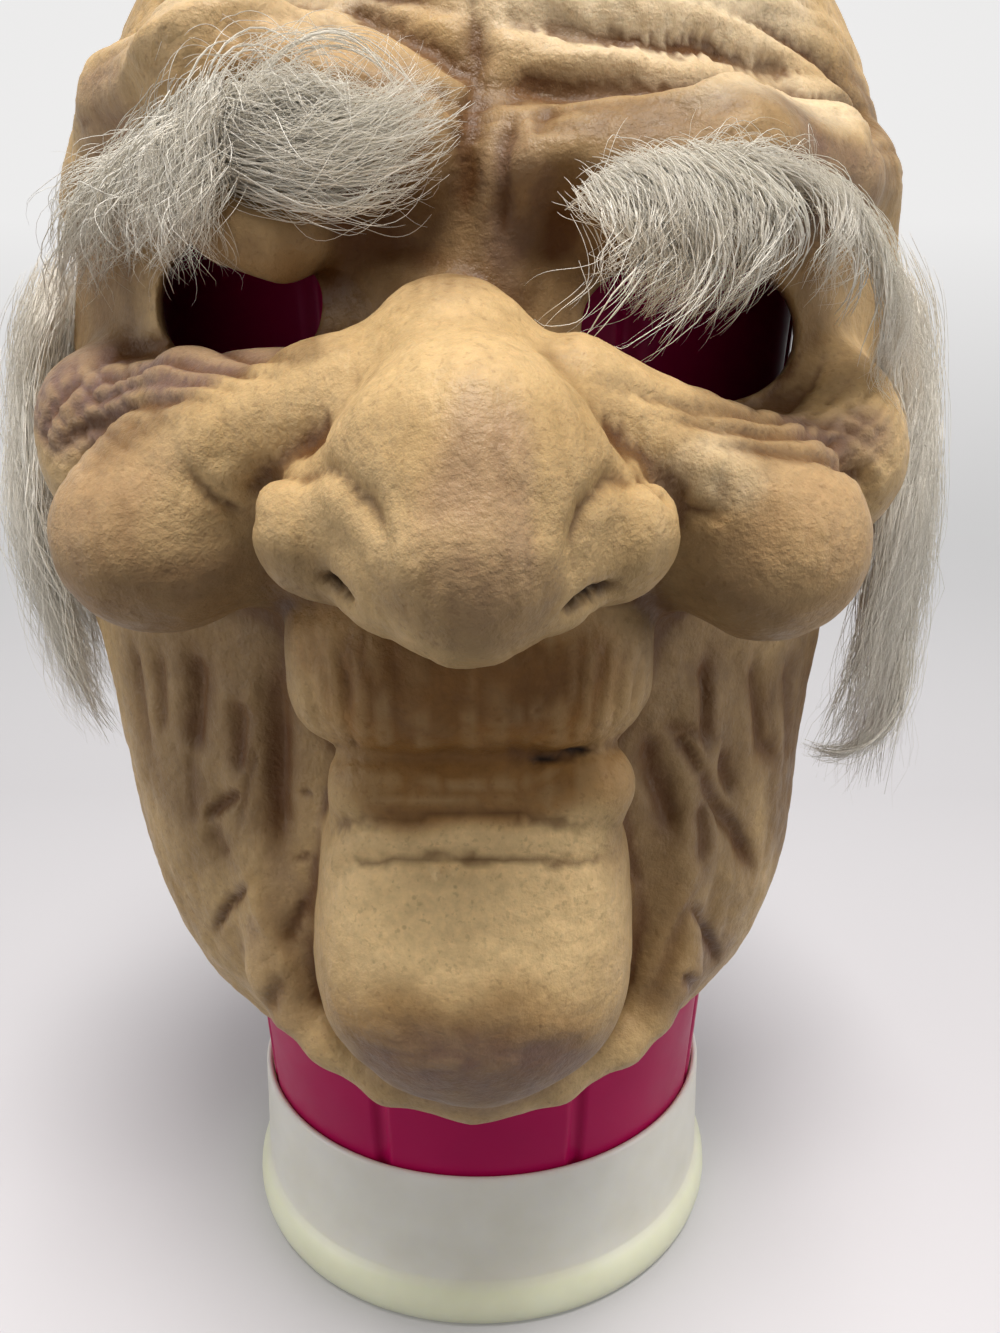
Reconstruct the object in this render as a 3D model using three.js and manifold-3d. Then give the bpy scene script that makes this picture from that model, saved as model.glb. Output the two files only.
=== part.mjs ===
// Old man mask of moulded latex with tufts of false hair, worn by a flaring tub in a shallow cup.
// Millimetres, z up, the face looks towards -y, and the axis of the tub stands on the origin.
import * as THREE from "three";
import { mergeVertices } from "three/addons/utils/BufferGeometryUtils.js";
import Module from "manifold-3d";

const wasm = await Module();
wasm.setup();

// Driving dimensions
const wall = 3.0;
const gap = 0.35;
const hairGap = 0.9;
const tuftGap = 1.8;
const faceShift = [0, -18, -6];
const backEdge = { y: 8, sweepFrom: 190, sweepOver: 70, sweep: 30, power: 1.5, corner: 25 };
const lowerEdge = { z: 89, front: -70, fall: 0.1 };
const tubClearance = { side: 1.5, above: 2, soft: 6 };
const eyeHoles = [
  { centre: [-42, 256], half: [16, 12] },
  { centre: [40.5, 251], half: [21, 12.5] },
];
const eyeHoleDepth = { front: -86, back: -30, power: 2.2 };
const tub = { low: 4, high: 283, radiusLow: 61.9, slope: 0.0805, wall: 2.4, chamfer: 1, sides: 64 };
const groove = { count: 8, width: 4.8, depth: 1.2 };
const cup = { height: 43, floor: 3, wallOut: 67.4, top: 67, sides: 44 };
const cupBead = [[66.9, 0], [69.7, 1.8], [70.4, 5.5], [69.6, 9.5], [67.4, 12.5]];

// Sizes of the meshes
const skinCell = 6;
const skinTriangles = 4600;
const liningCell = 9;
const liningTriangles = 1400;
const sideHair = { cell: 5.5, triangles: 620 };
const eyebrow = { cell: 4, triangles: 480 };

// Forms of the head in the face's own frame, joined in this order. An egg has a centre, radii and turns about
// x and z in degrees, a pillow is an egg squared off, a roll is a chain of x, y, z, radius, and soft is the
// width of its seam. A mirrored form stands on both sides of the face.
const forms = [
  { name: "skull", egg: [[2.5, -3, 272], [93.5, 86, 94]] },
  { name: "jaw", egg: [[-5, -16, 200], [89, 62, 82]], soft: 40 },
  { name: "jowls", egg: [[-2, -26, 138], [78, 54, 66]], soft: 30 },
  { name: "muzzle", egg: [[0, -58, 165], [44, 26, 66]], soft: 14 },
  {
    name: "left brow ridge", soft: 8,
    roll: [[-8, -87, 281, 9], [-40, -84, 291, 12], [-62, -62, 292, 10], [-76, -46, 280, 8]],
  },
  {
    name: "right brow ridge", soft: 8,
    roll: [[12, -87, 275, 9], [43, -86, 276, 12], [63, -67, 279, 12], [77, -46, 282, 9], [81, -38, 268, 8]],
  },
  { name: "left eye socket", egg: [[-41, -100, 255], [25, 24, 16]], soft: 8, hollow: true },
  { name: "right eye socket", egg: [[42, -100, 251], [28, 24, 16]], soft: 8, hollow: true },
  { name: "left corner by the nose", egg: [[-14, -106, 264], [15, 20, 8]], soft: 6, hollow: true },
  { name: "right corner by the nose", egg: [[16, -106, 263], [10, 18, 12]], soft: 6, hollow: true },
  { name: "left lid", roll: [[-40, -86, 268, 7], [-31, -88, 265, 7]], soft: 6 },
  { name: "right lid", egg: [[38, -82, 270], [18, 12, 9]], soft: 5 },
  { name: "middle of the face", egg: [[0, -74, 221], [56, 34, 28]], soft: 4 },
  { name: "left eye bag", roll: [[-20, -90, 241, 7], [-48, -88, 238, 9], [-74, -64, 236, 9]], soft: 6 },
  { name: "right eye bag", roll: [[20, -90, 234, 7], [48, -89, 227, 9], [74, -64, 230, 9]], soft: 6 },
  { name: "cheekbones", egg: [[72, -58, 230], [13, 22, 20]], soft: 8, mirrored: true },
  {
    name: "left cheek beside the nose", soft: 7,
    roll: [[-16, -108, 238, 11], [-38, -98, 231, 12], [-54, -88, 222, 12]],
  },
  {
    name: "right cheek beside the nose", soft: 7,
    roll: [[16, -108, 237, 11], [38, -98, 226.5, 12], [54, -88, 219, 12]],
  },
  { name: "left cheek ball", egg: [[-53, -93, 216], [18, 18, 17]], soft: 8 },
  { name: "right cheek ball", egg: [[51.5, -93, 215], [17.5, 18, 17]], soft: 8 },
  {
    name: "nose", soft: 4,
    forms: [
      {
        name: "bridge",
        roll: [[-3, -87, 250, 9], [-2, -105, 242, 14], [1, -124, 228, 17], [1, -132, 218, 13.5]],
      },
      { name: "root of the wings", egg: [[1, -117, 221], [25, 19, 14], -20], soft: 10 },
      {
        name: "lower rim", soft: 5,
        roll: [
          [-22, -115, 217, 6], [-10, -126, 212.5, 6.5], [1, -132, 211, 8],
          [12, -126, 212.5, 6.5], [24, -115, 217, 6],
        ],
      },
      { name: "left wing", egg: [[-21, -115, 219], [10, 13, 10.5], -15, -20], soft: 4 },
      { name: "right wing", egg: [[22.5, -115, 218.5], [9.5, 13, 10.5], -15, 20], soft: 4 },
    ],
  },
  { name: "upper lip", pillow: [[0, -79, 193.5], [34, 26, 18.5]], soft: 3 },
  {
    name: "chin", soft: 3,
    forms: [
      { name: "front of the chin", pillow: [[0.5, -78, 142], [30.5, 28, 32]] },
      { name: "ball of the chin", egg: [[0, -81, 133], [30, 30, 32]], soft: 6 },
      { name: "lower lip", roll: [[-17, -93, 170, 9], [21, -93, 170, 9]], soft: 6 },
    ],
  },
  {
    name: "fold round the chin", soft: 5, mirrored: true,
    roll: [
      [43, -67, 180, 7], [42, -68, 150, 8], [41, -70, 122, 8],
      [31, -77, 107, 6], [17, -83, 102, 5], [0, -86, 99, 4.5],
    ],
  },
];

// Locks of hair in the face's own frame, each a chain of x, y, z, radius that thins towards its end
const locks = {
  eyebrow_left: [
    [[-8, -99, 277, 6], [-24, -101, 282, 8], [-41, -97, 287, 8], [-52, -88, 285, 8]],
    [[-46, -92, 286, 7], [-60, -77, 279, 9], [-72, -63, 271, 9], [-80, -52, 262, 7]],
    [[-52, -88, 277, 8], [-50, -92, 266, 7], [-48, -93, 258, 4]],
    [[-64, -76, 272, 7], [-62, -80, 262, 5]],
    [[-12, -101, 274, 6], [-30, -102, 277, 6], [-44, -97, 279, 5]],
  ],
  eyebrow_right: [
    [[15, -98, 277, 5], [34, -100, 279, 8], [50, -95, 280, 9], [66, -80, 275, 10]],
    [[62, -84, 277, 8], [78, -64, 264, 10], [86, -51, 248, 9], [88, -46, 234, 6]],
    [[30, -101, 274, 7], [27, -104, 262, 6], [25, -103, 250, 4]],
    [[42, -100, 274, 8], [40, -102, 262, 6], [37, -101, 251, 4]],
    [[56, -92, 272, 8], [56, -94, 260, 5]],
    [[68, -80, 268, 8], [70, -78, 256, 5]],
  ],
  side_hair_left: [
    [[-92, -32, 268, 8], [-104, -26, 248, 10], [-108, -22, 222, 11], [-109, -22, 198, 10], [-101, -24, 174, 5]],
    [[-90, -42, 258, 7], [-97, -38, 240, 9], [-98, -34, 215, 9], [-98, -32, 192, 8], [-92, -32, 176, 5]],
    [[-88, -10, 262, 9], [-98, -6, 238, 10], [-100, -5, 206, 10], [-98, -6, 184, 6]],
  ],
  side_hair_right: [
    [
      [93, -32, 270, 8], [104, -26, 250, 10], [107, -22, 224, 11], [107, -22, 200, 10],
      [113, -19, 182, 9], [107, -20, 163, 8], [95, -24, 151, 7], [87, -27, 154, 4],
    ],
    [[92, -42, 254, 7], [97, -38, 238, 9], [98, -33, 214, 9], [99, -31, 190, 9], [94, -30, 170, 5]],
    [[88, -10, 262, 9], [98, -6, 236, 10], [98, -5, 206, 10], [100, -7, 180, 9], [94, -8, 160, 5]],
  ],
};

// Vectors on plain arrays
const plus = (a, b) => [a[0] + b[0], a[1] + b[1], a[2] + b[2]];
const minus = (a, b) => [a[0] - b[0], a[1] - b[1], a[2] - b[2]];
const times = (a, s) => [a[0] * s, a[1] * s, a[2] * s];
const dot = (a, b) => a[0] * b[0] + a[1] * b[1] + a[2] * b[2];
const size = (a) => Math.hypot(a[0], a[1], a[2]);
const unit = (a) => times(a, 1 / Math.max(size(a), 1e-9));
const cross = (a, b) => [a[1] * b[2] - a[2] * b[1], a[2] * b[0] - a[0] * b[2], a[0] * b[1] - a[1] * b[0]];
const clamp = (v, low, high) => Math.min(high, Math.max(low, v));
const mean = (vectors) => times(vectors.reduce(plus), 1 / vectors.length);

// Joining and cutting of distances with a soft seam
function join(a, b, soft) {
  const h = Math.max(soft - Math.abs(a - b), 0) / soft;
  return Math.min(a, b) - h * h * soft * 0.25;
}
const cut = (a, b, soft) => -join(-a, b, soft);

// Two coordinates turned by an angle in degrees
function turn(u, v, degrees) {
  const c = Math.cos(THREE.MathUtils.degToRad(degrees));
  const s = Math.sin(THREE.MathUtils.degToRad(degrees));
  return [u * c + v * s, v * c - u * s];
}

// Distance, about, to an egg that is turned by tilt about x and by yaw about z
function egg(p, centre, radii, tilt = 0, yaw = 0) {
  const q = minus(p, centre);
  if (yaw) [q[0], q[1]] = turn(q[0], q[1], yaw);
  if (tilt) [q[1], q[2]] = turn(q[1], q[2], tilt);
  const u = q.map((v, i) => v / radii[i]);
  const reach = size(u);
  const steep = Math.max(size(u.map((v, i) => v / radii[i])), 1e-3);
  return reach < 1e-3 ? -Math.min(...radii) : (reach * (reach - 1)) / steep;
}

// An egg squared off towards a box
function pillow(p, centre, radii, power = 3.2) {
  const q = minus(p, centre).map((v, i) => Math.abs(v) / radii[i]);
  const reach = Math.max((q[0] ** power + q[1] ** power + q[2] ** power) ** (1 / power), 1e-3);
  const steep = size(q.map((v, i) => (v / reach) ** (power - 1) / radii[i]));
  return (reach - 1) / steep;
}

// A bar of round section along a chain of points
function roll(p, chain) {
  const bend = 4;
  let best = Infinity;
  for (let i = 1; i < chain.length; i++) {
    const along = minus(chain[i], chain[i - 1]);
    const off = minus(p, chain[i - 1]);
    const h = clamp(dot(off, along) / dot(along, along), 0, 1);
    const radius = chain[i - 1][3] * (1 - h) + chain[i][3] * h;
    const distance = size(minus(off, times(along, h))) - radius;
    best = best === Infinity ? distance : join(best, distance, bend);
  }
  return best;
}

function single(p, form) {
  const q = form.mirrored ? [Math.hypot(p[0], 0.7), p[1], p[2]] : p;
  if (form.egg) return egg(q, ...form.egg);
  if (form.pillow) return pillow(q, ...form.pillow);
  if (form.roll) return roll(q, form.roll);
  return joined(q, form.forms);
}

function joined(p, list) {
  let value = single(p, list[0]);
  for (const form of list.slice(1)) {
    const distance = single(p, form);
    value = form.hollow ? cut(value, distance, form.soft) : join(value, distance, form.soft);
  }
  return value;
}

// Below zero inside the whole head
const head = (p) => joined(p, forms);

// Above zero inside an eye hole
function inEyeHole([x, y, z], { centre, half }) {
  const { front, back, power } = eyeHoleDepth;
  if (y > back) return -Infinity;
  const a = Math.abs((x - centre[0]) / half[0]);
  const b = Math.abs((z - centre[1]) / half[1]);
  const inside = (1 - (a ** power + b ** power) ** (1 / power)) * Math.min(...half);
  return Math.min(inside, y - front);
}

// Above zero inside the tub and close round it
function inTub([x, y, z]) {
  const height = z + faceShift[2];
  const radius = tub.radiusLow + tub.slope * (height - tub.low);
  const side = radius + tubClearance.side - Math.hypot(x + faceShift[0], y + faceShift[1]);
  return Math.min(side, tub.high + tubClearance.above - height);
}

// Above zero where the mask is cut away: behind the back edge, under the lower edge, in the tub, in the eye holes
function trim(p) {
  const [, y, z] = p;
  const { sweep, sweepFrom, sweepOver, power, corner } = backEdge;
  const behind = y - backEdge.y + sweep * clamp((sweepFrom - z) / sweepOver, 0, 1) ** power;
  const below = lowerEdge.z - lowerEdge.fall * Math.max(y - lowerEdge.front, 0) - z;
  const edge = cut(cut(behind, -below, corner), -inTub(p), tubClearance.soft);
  return Math.max(edge, ...eyeHoles.map((hole) => inEyeHole(p, hole)));
}

// Value and gradient from four points round p
const stencil = [[1, 1, 1], [1, -1, -1], [-1, 1, -1], [-1, -1, 1]];
function slope(form, p, step = 0.25) {
  let value = 0;
  let gradient = [0, 0, 0];
  for (const corner of stencil) {
    const f = form(plus(p, times(corner, step)));
    value += f / 4;
    gradient = plus(gradient, times(corner, f / (4 * step)));
  }
  return [value, gradient];
}

// One step of p onto the surface
function onto(form, p) {
  const longest = 3;
  const [value, gradient] = slope(form, p);
  const move = times(gradient, -value / Math.max(dot(gradient, gradient), 0.05));
  return plus(p, times(move, Math.min(1, longest / Math.max(size(move), 1e-9))));
}

// p moved onto the curve where the surface meets the cut edge
function ontoEdge(form, p) {
  for (let round = 0; round < 4; round++) {
    const [value, gradient] = slope(trim, p);
    const normal = unit(slope(form, p)[1]);
    const along = minus(gradient, times(normal, dot(gradient, normal)));
    p = onto(form, minus(p, times(along, value / Math.max(dot(along, along), 0.05))));
  }
  return p;
}

// Each grid cube falls into six tetrahedra that share its long diagonal; a corner counts x, y, z as bits
const tetrahedra = [[1, 3], [3, 2], [2, 6], [6, 4], [4, 5], [5, 1]].map(([a, b]) => [0, a, b, 7]);

// Ring of the crossed edges of one tetrahedron, and a direction from its inside to its outside
function sectionOf(inside, outside, crossing, place) {
  if (inside.length === 2) {
    const [[a, b], [c, d]] = [inside, outside];
    return [[crossing(a, c), crossing(a, d), crossing(b, d), crossing(b, c)], minus(place(c), place(a))];
  }
  const ring = inside.flatMap((a) => outside.map((b) => crossing(a, b)));
  return [ring, minus(mean(outside.map(place)), mean(inside.map(place)))];
}

// Triangles where the surface of a form crosses a grid of tetrahedra
function marched(form, low, high, cell) {
  const count = high.map((h, i) => Math.ceil((h - low[i]) / cell));
  const at = (i) => (i[0] * (count[1] + 1) + i[1]) * (count[2] + 1) + i[2];
  const place = (i) => plus(low, times(i, cell));
  const values = new Float64Array((count[0] + 1) * (count[1] + 1) * (count[2] + 1));
  const eachNode = (number, visit) => {
    for (let i = 0; i < number[0]; i++) {
      for (let j = 0; j < number[1]; j++) {
        for (let k = 0; k < number[2]; k++) visit([i, j, k]);
      }
    }
  };
  eachNode(count.map((c) => c + 1), (i) => {
    values[at(i)] = form(place(i));
  });
  const points = [];
  const faces = [];
  const crossings = new Map();
  const crossing = (a, b) => {
    const key = at(a) < at(b) ? `${at(a)},${at(b)}` : `${at(b)},${at(a)}`;
    if (!crossings.has(key)) {
      const t = clamp(values[at(a)] / (values[at(a)] - values[at(b)]), 0.1, 0.9);
      crossings.set(key, points.length);
      points.push(plus(times(place(a), 1 - t), times(place(b), t)));
    }
    return crossings.get(key);
  };
  eachNode(count, (cube) => {
    for (const tetrahedron of tetrahedra) {
      const corners = tetrahedron.map((bits) => plus(cube, [bits & 1, (bits >> 1) & 1, (bits >> 2) & 1]));
      const inside = corners.filter((c) => values[at(c)] < 0);
      const outside = corners.filter((c) => values[at(c)] >= 0);
      if (!inside.length || !outside.length) continue;
      const [ring, outwards] = sectionOf(inside, outside, crossing, place);
      if (dot(faceNormal(points, ring), outwards) < 0) ring.reverse();
      for (let k = 2; k < ring.length; k++) faces.push([ring[0], ring[k - 1], ring[k]]);
    }
  });
  return { points, faces };
}

// Points evened out along the surface
function relax(form, mesh, rounds) {
  let { points } = mesh;
  for (let round = 0; round < rounds; round++) {
    const near = points.map(() => []);
    for (const face of mesh.faces) {
      face.forEach((a, k) => {
        near[a].push(points[face[(k + 1) % 3]], points[face[(k + 2) % 3]]);
      });
    }
    points = points.map((p, i) => {
      const normal = unit(slope(form, p)[1]);
      const step = minus(mean(near[i]), p);
      return onto(form, plus(p, times(minus(step, times(normal, dot(step, normal))), 0.5)));
    });
  }
  return { points, faces: mesh.faces };
}

// Unused points dropped
function packed(points, faces) {
  const name = new Map();
  const kept = [];
  const renamed = faces.map((face) => face.map((i) => {
    if (!name.has(i)) name.set(i, kept.push(points[i]) - 1);
    return name.get(i);
  }));
  return { points: kept, faces: renamed };
}

// The surface kept where trim is below zero, its border on the curve where trim is zero
function trimmed(form, mesh, reach) {
  const points = [...mesh.points];
  const side = points.map((p, i) => {
    const value = trim(p);
    if (Math.abs(value) > reach) return Math.sign(value);
    points[i] = ontoEdge(form, p);
    return 0;
  });
  const crossings = new Map();
  const crossing = (a, b) => {
    const key = a < b ? `${a},${b}` : `${b},${a}`;
    if (!crossings.has(key)) {
      const t = trim(points[a]) / (trim(points[a]) - trim(points[b]));
      crossings.set(key, points.length);
      points.push(ontoEdge(form, plus(points[a], times(minus(points[b], points[a]), t))));
      side.push(0);
    }
    return crossings.get(key);
  };
  const kept = [];
  for (const face of mesh.faces) {
    if (!face.some((i) => side[i] < 0)) continue;
    const ring = [];
    face.forEach((a, k) => {
      const b = face[(k + 1) % 3];
      if (side[a] <= 0) ring.push(a);
      if (side[a] * side[b] < 0) ring.push(crossing(a, b));
    });
    for (let k = 2; k < ring.length; k++) kept.push([ring[0], ring[k - 1], ring[k]]);
  }
  return packed(points, kept);
}

// Squared distance to a plane, as the ten numbers of a symmetric matrix
function planeCost(normal, point, weight) {
  const [a, b, c] = normal;
  const d = -dot(normal, point);
  return [a * a, a * b, a * c, a * d, b * b, b * c, b * d, c * c, c * d, d * d].map((v) => v * weight);
}

function costAt(q, [x, y, z]) {
  return q[0] * x * x + 2 * q[1] * x * y + 2 * q[2] * x * z + 2 * q[3] * x + q[4] * y * y +
    2 * q[5] * y * z + 2 * q[6] * y + q[7] * z * z + 2 * q[8] * z + q[9];
}

function faceNormal(points, [a, b, c]) {
  return cross(minus(points[b], points[a]), minus(points[c], points[a]));
}

// Edges by their two points, with the faces on them
function edgesOf(faces) {
  const edges = new Map();
  for (const face of faces) {
    face.forEach((a, k) => {
      const b = face[(k + 1) % 3];
      const key = a < b ? `${a},${b}` : `${b},${a}`;
      if (!edges.has(key)) edges.set(key, { a: Math.min(a, b), b: Math.max(a, b), faces: [] });
      edges.get(key).faces.push(face);
    });
  }
  return [...edges.values()];
}

// What it costs to move each point off its faces and, at the border, off the border
function pointCosts(points, faces, border) {
  const borderWeight = 10;
  const costs = points.map(() => new Array(10).fill(0));
  const add = (i, cost) => cost.forEach((v, j) => (costs[i][j] += v));
  for (const face of faces) {
    const normal = faceNormal(points, face);
    const cost = planeCost(unit(normal), points[face[0]], size(normal) / 2 + 0.5);
    face.forEach((i) => add(i, cost));
  }
  for (const { a, b, faces: [face] } of border) {
    const along = minus(points[b], points[a]);
    const fence = unit(cross(along, faceNormal(points, face)));
    const cost = planeCost(fence, points[a], size(along) * borderWeight);
    add(a, cost);
    add(b, cost);
  }
  return costs;
}

// Edges that may be closed up, the cheapest first, each with the spot where its points meet
function edgeChoices(points, faces) {
  const lengthWeight = 0.004;
  const edges = edgesOf(faces);
  const border = edges.filter((edge) => edge.faces.length === 1);
  const onBorder = new Set(border.flatMap(({ a, b }) => [a, b]));
  const costs = pointCosts(points, faces, border);
  const free = edges.filter(({ a, b, faces: [, second] }) => !(second && onBorder.has(a) && onBorder.has(b)));
  const choices = free.map(({ a, b }) => {
    const cost = costs[a].map((v, j) => v + costs[b][j]);
    const alike = onBorder.has(a) === onBorder.has(b);
    const fixed = points[onBorder.has(a) ? a : b];
    const spots = alike ? [mean([points[a], points[b]]), points[a], points[b]] : [fixed];
    const spot = spots.reduce((x, y) => (costAt(cost, y) < costAt(cost, x) ? y : x));
    const length = size(minus(points[a], points[b]));
    return { a, b, spot, cost: costAt(cost, spot) + lengthWeight * length ** 3 };
  });
  return choices.sort((x, y) => x.cost - y.cost);
}

// True if a face would fold over or turn into a sliver once its corners named in moved stand at spot
function spoiled(points, face, moved, spot) {
  const before = unit(faceNormal(points, face));
  const corners = face.map((i) => (moved.includes(i) ? spot : points[i]));
  const after = faceNormal(corners, [0, 1, 2]);
  const longest = Math.max(...corners.map((c, k) => size(minus(c, corners[(k + 1) % 3]))));
  return dot(before, unit(after)) < 0.5 || size(after) < 0.12 * longest * longest;
}

// Short edges and flat places closed up until the wanted number of faces is left
function thinned(form, mesh, wanted) {
  let { points, faces } = mesh;
  let before = Infinity;
  while (faces.length > wanted && faces.length < before) {
    before = faces.length;
    const around = points.map(() => []);
    faces.forEach((face) => face.forEach((i) => around[i].push(face)));
    const busy = new Set();
    const gone = new Set();
    const into = points.map((_, i) => i);
    const limit = Math.max(wanted, faces.length * 0.85);
    for (const { a, b, spot } of edgeChoices(points, faces)) {
      if (faces.length - gone.size <= limit) break;
      const ringA = new Set(around[a].flat());
      const ringB = new Set(around[b].flat());
      if ([...ringA, ...ringB].some((i) => busy.has(i))) continue;
      const shared = [...ringA].filter((i) => ringB.has(i) && i !== a && i !== b);
      const both = around[a].filter((face) => face.includes(b));
      if (shared.length !== both.length) continue;
      const others = [...around[a], ...around[b]].filter((face) => !both.includes(face));
      if (others.some((face) => spoiled(points, face, [a, b], spot))) continue;
      [...ringA, ...ringB].forEach((i) => busy.add(i));
      both.forEach((face) => gone.add(face));
      points[a] = spot;
      into[b] = a;
    }
    const kept = faces.filter((face) => !gone.has(face)).map((face) => face.map((i) => into[i]));
    ({ points, faces } = packed(points, kept));
  }
  const border = new Set(loops(faces).flat());
  points = points.map((p, i) => (border.has(i) ? ontoEdge(form, p) : onto(form, onto(form, p))));
  return { points, faces };
}

// Borders of the surface as rings of points, in the faces' own direction
function loops(faces) {
  const following = new Map();
  const there = new Set(faces.flatMap(([a, b, c]) => [`${a},${b}`, `${b},${c}`, `${c},${a}`]));
  for (const face of faces) {
    face.forEach((a, k) => {
      const b = face[(k + 1) % 3];
      if (!there.has(`${b},${a}`)) following.set(a, b);
    });
  }
  const rings = [];
  while (following.size) {
    const ring = [];
    let at = following.keys().next().value;
    while (following.has(at)) {
      ring.push(at);
      const next = following.get(at);
      following.delete(at);
      at = next;
    }
    rings.push(ring);
  }
  return rings;
}

// Points of each face that has a sample nearer to the form than wanted, pushed along the form's slope
function pushed(form, mesh, wanted, rounds, fixed = new Set()) {
  const share = 0.6;
  const points = [...mesh.points];
  for (let round = 0; round < rounds; round++) {
    for (const face of mesh.faces) {
      const [a, b, c] = face.map((i) => points[i]);
      for (const sample of [mean([a, b, c]), mean([a, b]), mean([b, c]), mean([c, a])]) {
        const [value, gradient] = slope(form, sample);
        if (value > wanted) continue;
        const move = times(unit(gradient), (wanted - value) * share);
        face.filter((i) => !fixed.has(i)).forEach((i) => (points[i] = plus(points[i], move)));
      }
    }
  }
  return { points, faces: mesh.faces };
}

// Two rings that run side by side joined by a strip
function strip(points, outer, inner) {
  const near = (i, j) => size(minus(points[i], points[j]));
  const start = inner.reduce((best, i, k) => (near(outer[0], i) < near(outer[0], inner[best]) ? k : best), 0);
  const other = inner.map((_, k) => inner[(start + k) % inner.length]);
  const faces = [];
  let i = 0;
  let j = 0;
  while (i < outer.length || j < other.length) {
    const a = outer[i % outer.length];
    const b = other[j % other.length];
    const nextA = outer[(i + 1) % outer.length];
    const nextB = other[(j + 1) % other.length];
    const stepOuter = j === other.length || (i < outer.length && near(nextA, b) < near(a, nextB));
    if (stepOuter) {
      faces.push([nextA, a, b]);
      i += 1;
    } else {
      faces.push([b, nextB, a]);
      j += 1;
    }
  }
  return faces;
}

// A skin and its lining closed along their borders
function shell(skin, lining) {
  const offset = skin.points.length;
  const points = [...skin.points, ...lining.points];
  const inside = lining.faces.map(([a, b, c]) => [a + offset, c + offset, b + offset]);
  const faces = [...skin.faces, ...inside];
  const middle = (ring) => mean(ring.map((i) => points[i]));
  const rings = loops(inside).map((ring) => ring.reverse());
  for (const outer of loops(skin.faces)) {
    const off = (ring) => size(minus(middle(ring), middle(outer)));
    const match = rings.reduce((best, ring) => (off(ring) < off(best) ? ring : best));
    faces.push(...strip(points, outer, match));
  }
  return { points, faces };
}

// Outside of the mask, or its lining, as an open surface that ends at the cut edges
function openSkin(form, cell, wanted) {
  const low = [-112, -160, 74];
  const high = [112, 24, 384];
  const even = relax(form, marched(form, low, high, cell), 4);
  return thinned(form, trimmed(form, even, cell * 0.2), wanted);
}

function maskSkin() {
  const skin = openSkin(head, skinCell, skinTriangles);
  const lining = openSkin((p) => head(p) + wall, liningCell, liningTriangles);
  const border = new Set(loops(lining.faces).flat());
  const inwards = (p) => -head(p);
  return shell(skin, pushed(inwards, lining, wall * 0.55, 20, border));
}

// Hair stands clear of the skin it grows from, and the side hair of the eyebrow above it
function hairForm(name) {
  const bundle = (p, locksOf) => locksOf.map((lock) => roll(p, lock)).reduce((a, b) => join(a, b, 2.5));
  const above = locks[name.replace("side_hair", "eyebrow")];
  return (p) => {
    const clear = cut(bundle(p, locks[name]), head(p) - hairGap, 1.5);
    return above === locks[name] ? clear : cut(clear, bundle(p, above) - tuftGap, 1.5);
  };
}

function hairTuft(name) {
  const { cell, triangles } = name.startsWith("eyebrow") ? eyebrow : sideHair;
  const form = hairForm(name);
  const nodes = locks[name].flat();
  const reach = (axis, sign) => sign * (Math.max(...nodes.map((n) => sign * n[axis] + n[3])) + cell);
  const low = [0, 1, 2].map((axis) => reach(axis, -1));
  const high = [0, 1, 2].map((axis) => reach(axis, 1));
  const tuft = thinned(form, relax(form, marched(form, low, high, cell), 3), triangles);
  return pushed(head, tuft, hairGap, 12);
}

// A body of revolution round z from its profile of radius and height
function turned(profile, sides) {
  const points = profile.map(([radius, z]) => new THREE.Vector2(radius, z));
  return new THREE.LatheGeometry(points, sides).rotateX(Math.PI / 2);
}

function toSolid(geometry) {
  const merged = mergeVertices(geometry.clone().deleteAttribute("normal").deleteAttribute("uv"));
  const index = merged.index.array;
  const faces = [];
  for (let i = 0; i < index.length; i += 3) {
    const face = [index[i], index[i + 1], index[i + 2]];
    if (new Set(face).size === 3) faces.push(...face);
  }
  const mesh = { numProp: 3, vertProperties: merged.attributes.position.array, triVerts: new Uint32Array(faces) };
  return new wasm.Manifold(new wasm.Mesh(mesh));
}

function toGeometry(points, faces) {
  const geometry = new THREE.BufferGeometry();
  geometry.setAttribute("position", new THREE.Float32BufferAttribute(points, 3));
  geometry.setIndex(faces);
  geometry.computeVertexNormals();
  return geometry;
}

const tubRadius = (z) => tub.radiusLow + tub.slope * (z - tub.low);

// One upright groove as a bar that leans with the wall
function grooveBar(number) {
  const middle = (tub.low + tub.high) / 2;
  const bar = new THREE.BoxGeometry(groove.width, 2 * groove.depth, 2 * tub.high);
  const lean = Math.atan(tub.slope);
  bar.rotateX(-lean).translate(0, tubRadius(middle), middle);
  return bar.rotateZ((2 * Math.PI * (number + 0.5)) / groove.count);
}

// Flaring tub, upside down: closed above, open below
function tubGeometry() {
  const ceiling = tub.high - tub.wall;
  const plain = turned([
    [0, ceiling],
    [tubRadius(ceiling) - tub.wall, ceiling],
    [tubRadius(tub.low) - tub.wall, tub.low],
    [tubRadius(tub.low), tub.low],
    [tubRadius(tub.high) - tub.chamfer * tub.slope, tub.high - tub.chamfer],
    [tubRadius(tub.high) - tub.chamfer, tub.high],
    [0, tub.high],
  ], tub.sides);
  let solid = toSolid(plain);
  for (let number = 0; number < groove.count; number++) solid = solid.subtract(toSolid(grooveBar(number)));
  const { vertProperties, triVerts } = solid.getMesh();
  return toGeometry(vertProperties, [...triVerts]);
}

function cupGeometry() {
  const inner = (z) => tubRadius(z) + gap;
  return turned([
    [0, 0],
    ...cupBead,
    [cup.top, cup.height],
    [inner(cup.height), cup.height],
    [inner(cup.floor), cup.floor],
    [0, cup.floor],
  ], cup.sides);
}

function part(name, geometry, look) {
  const mesh = new THREE.Mesh(geometry, new THREE.MeshStandardMaterial({ metalness: 0, ...look }));
  mesh.name = name;
  return mesh;
}

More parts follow.
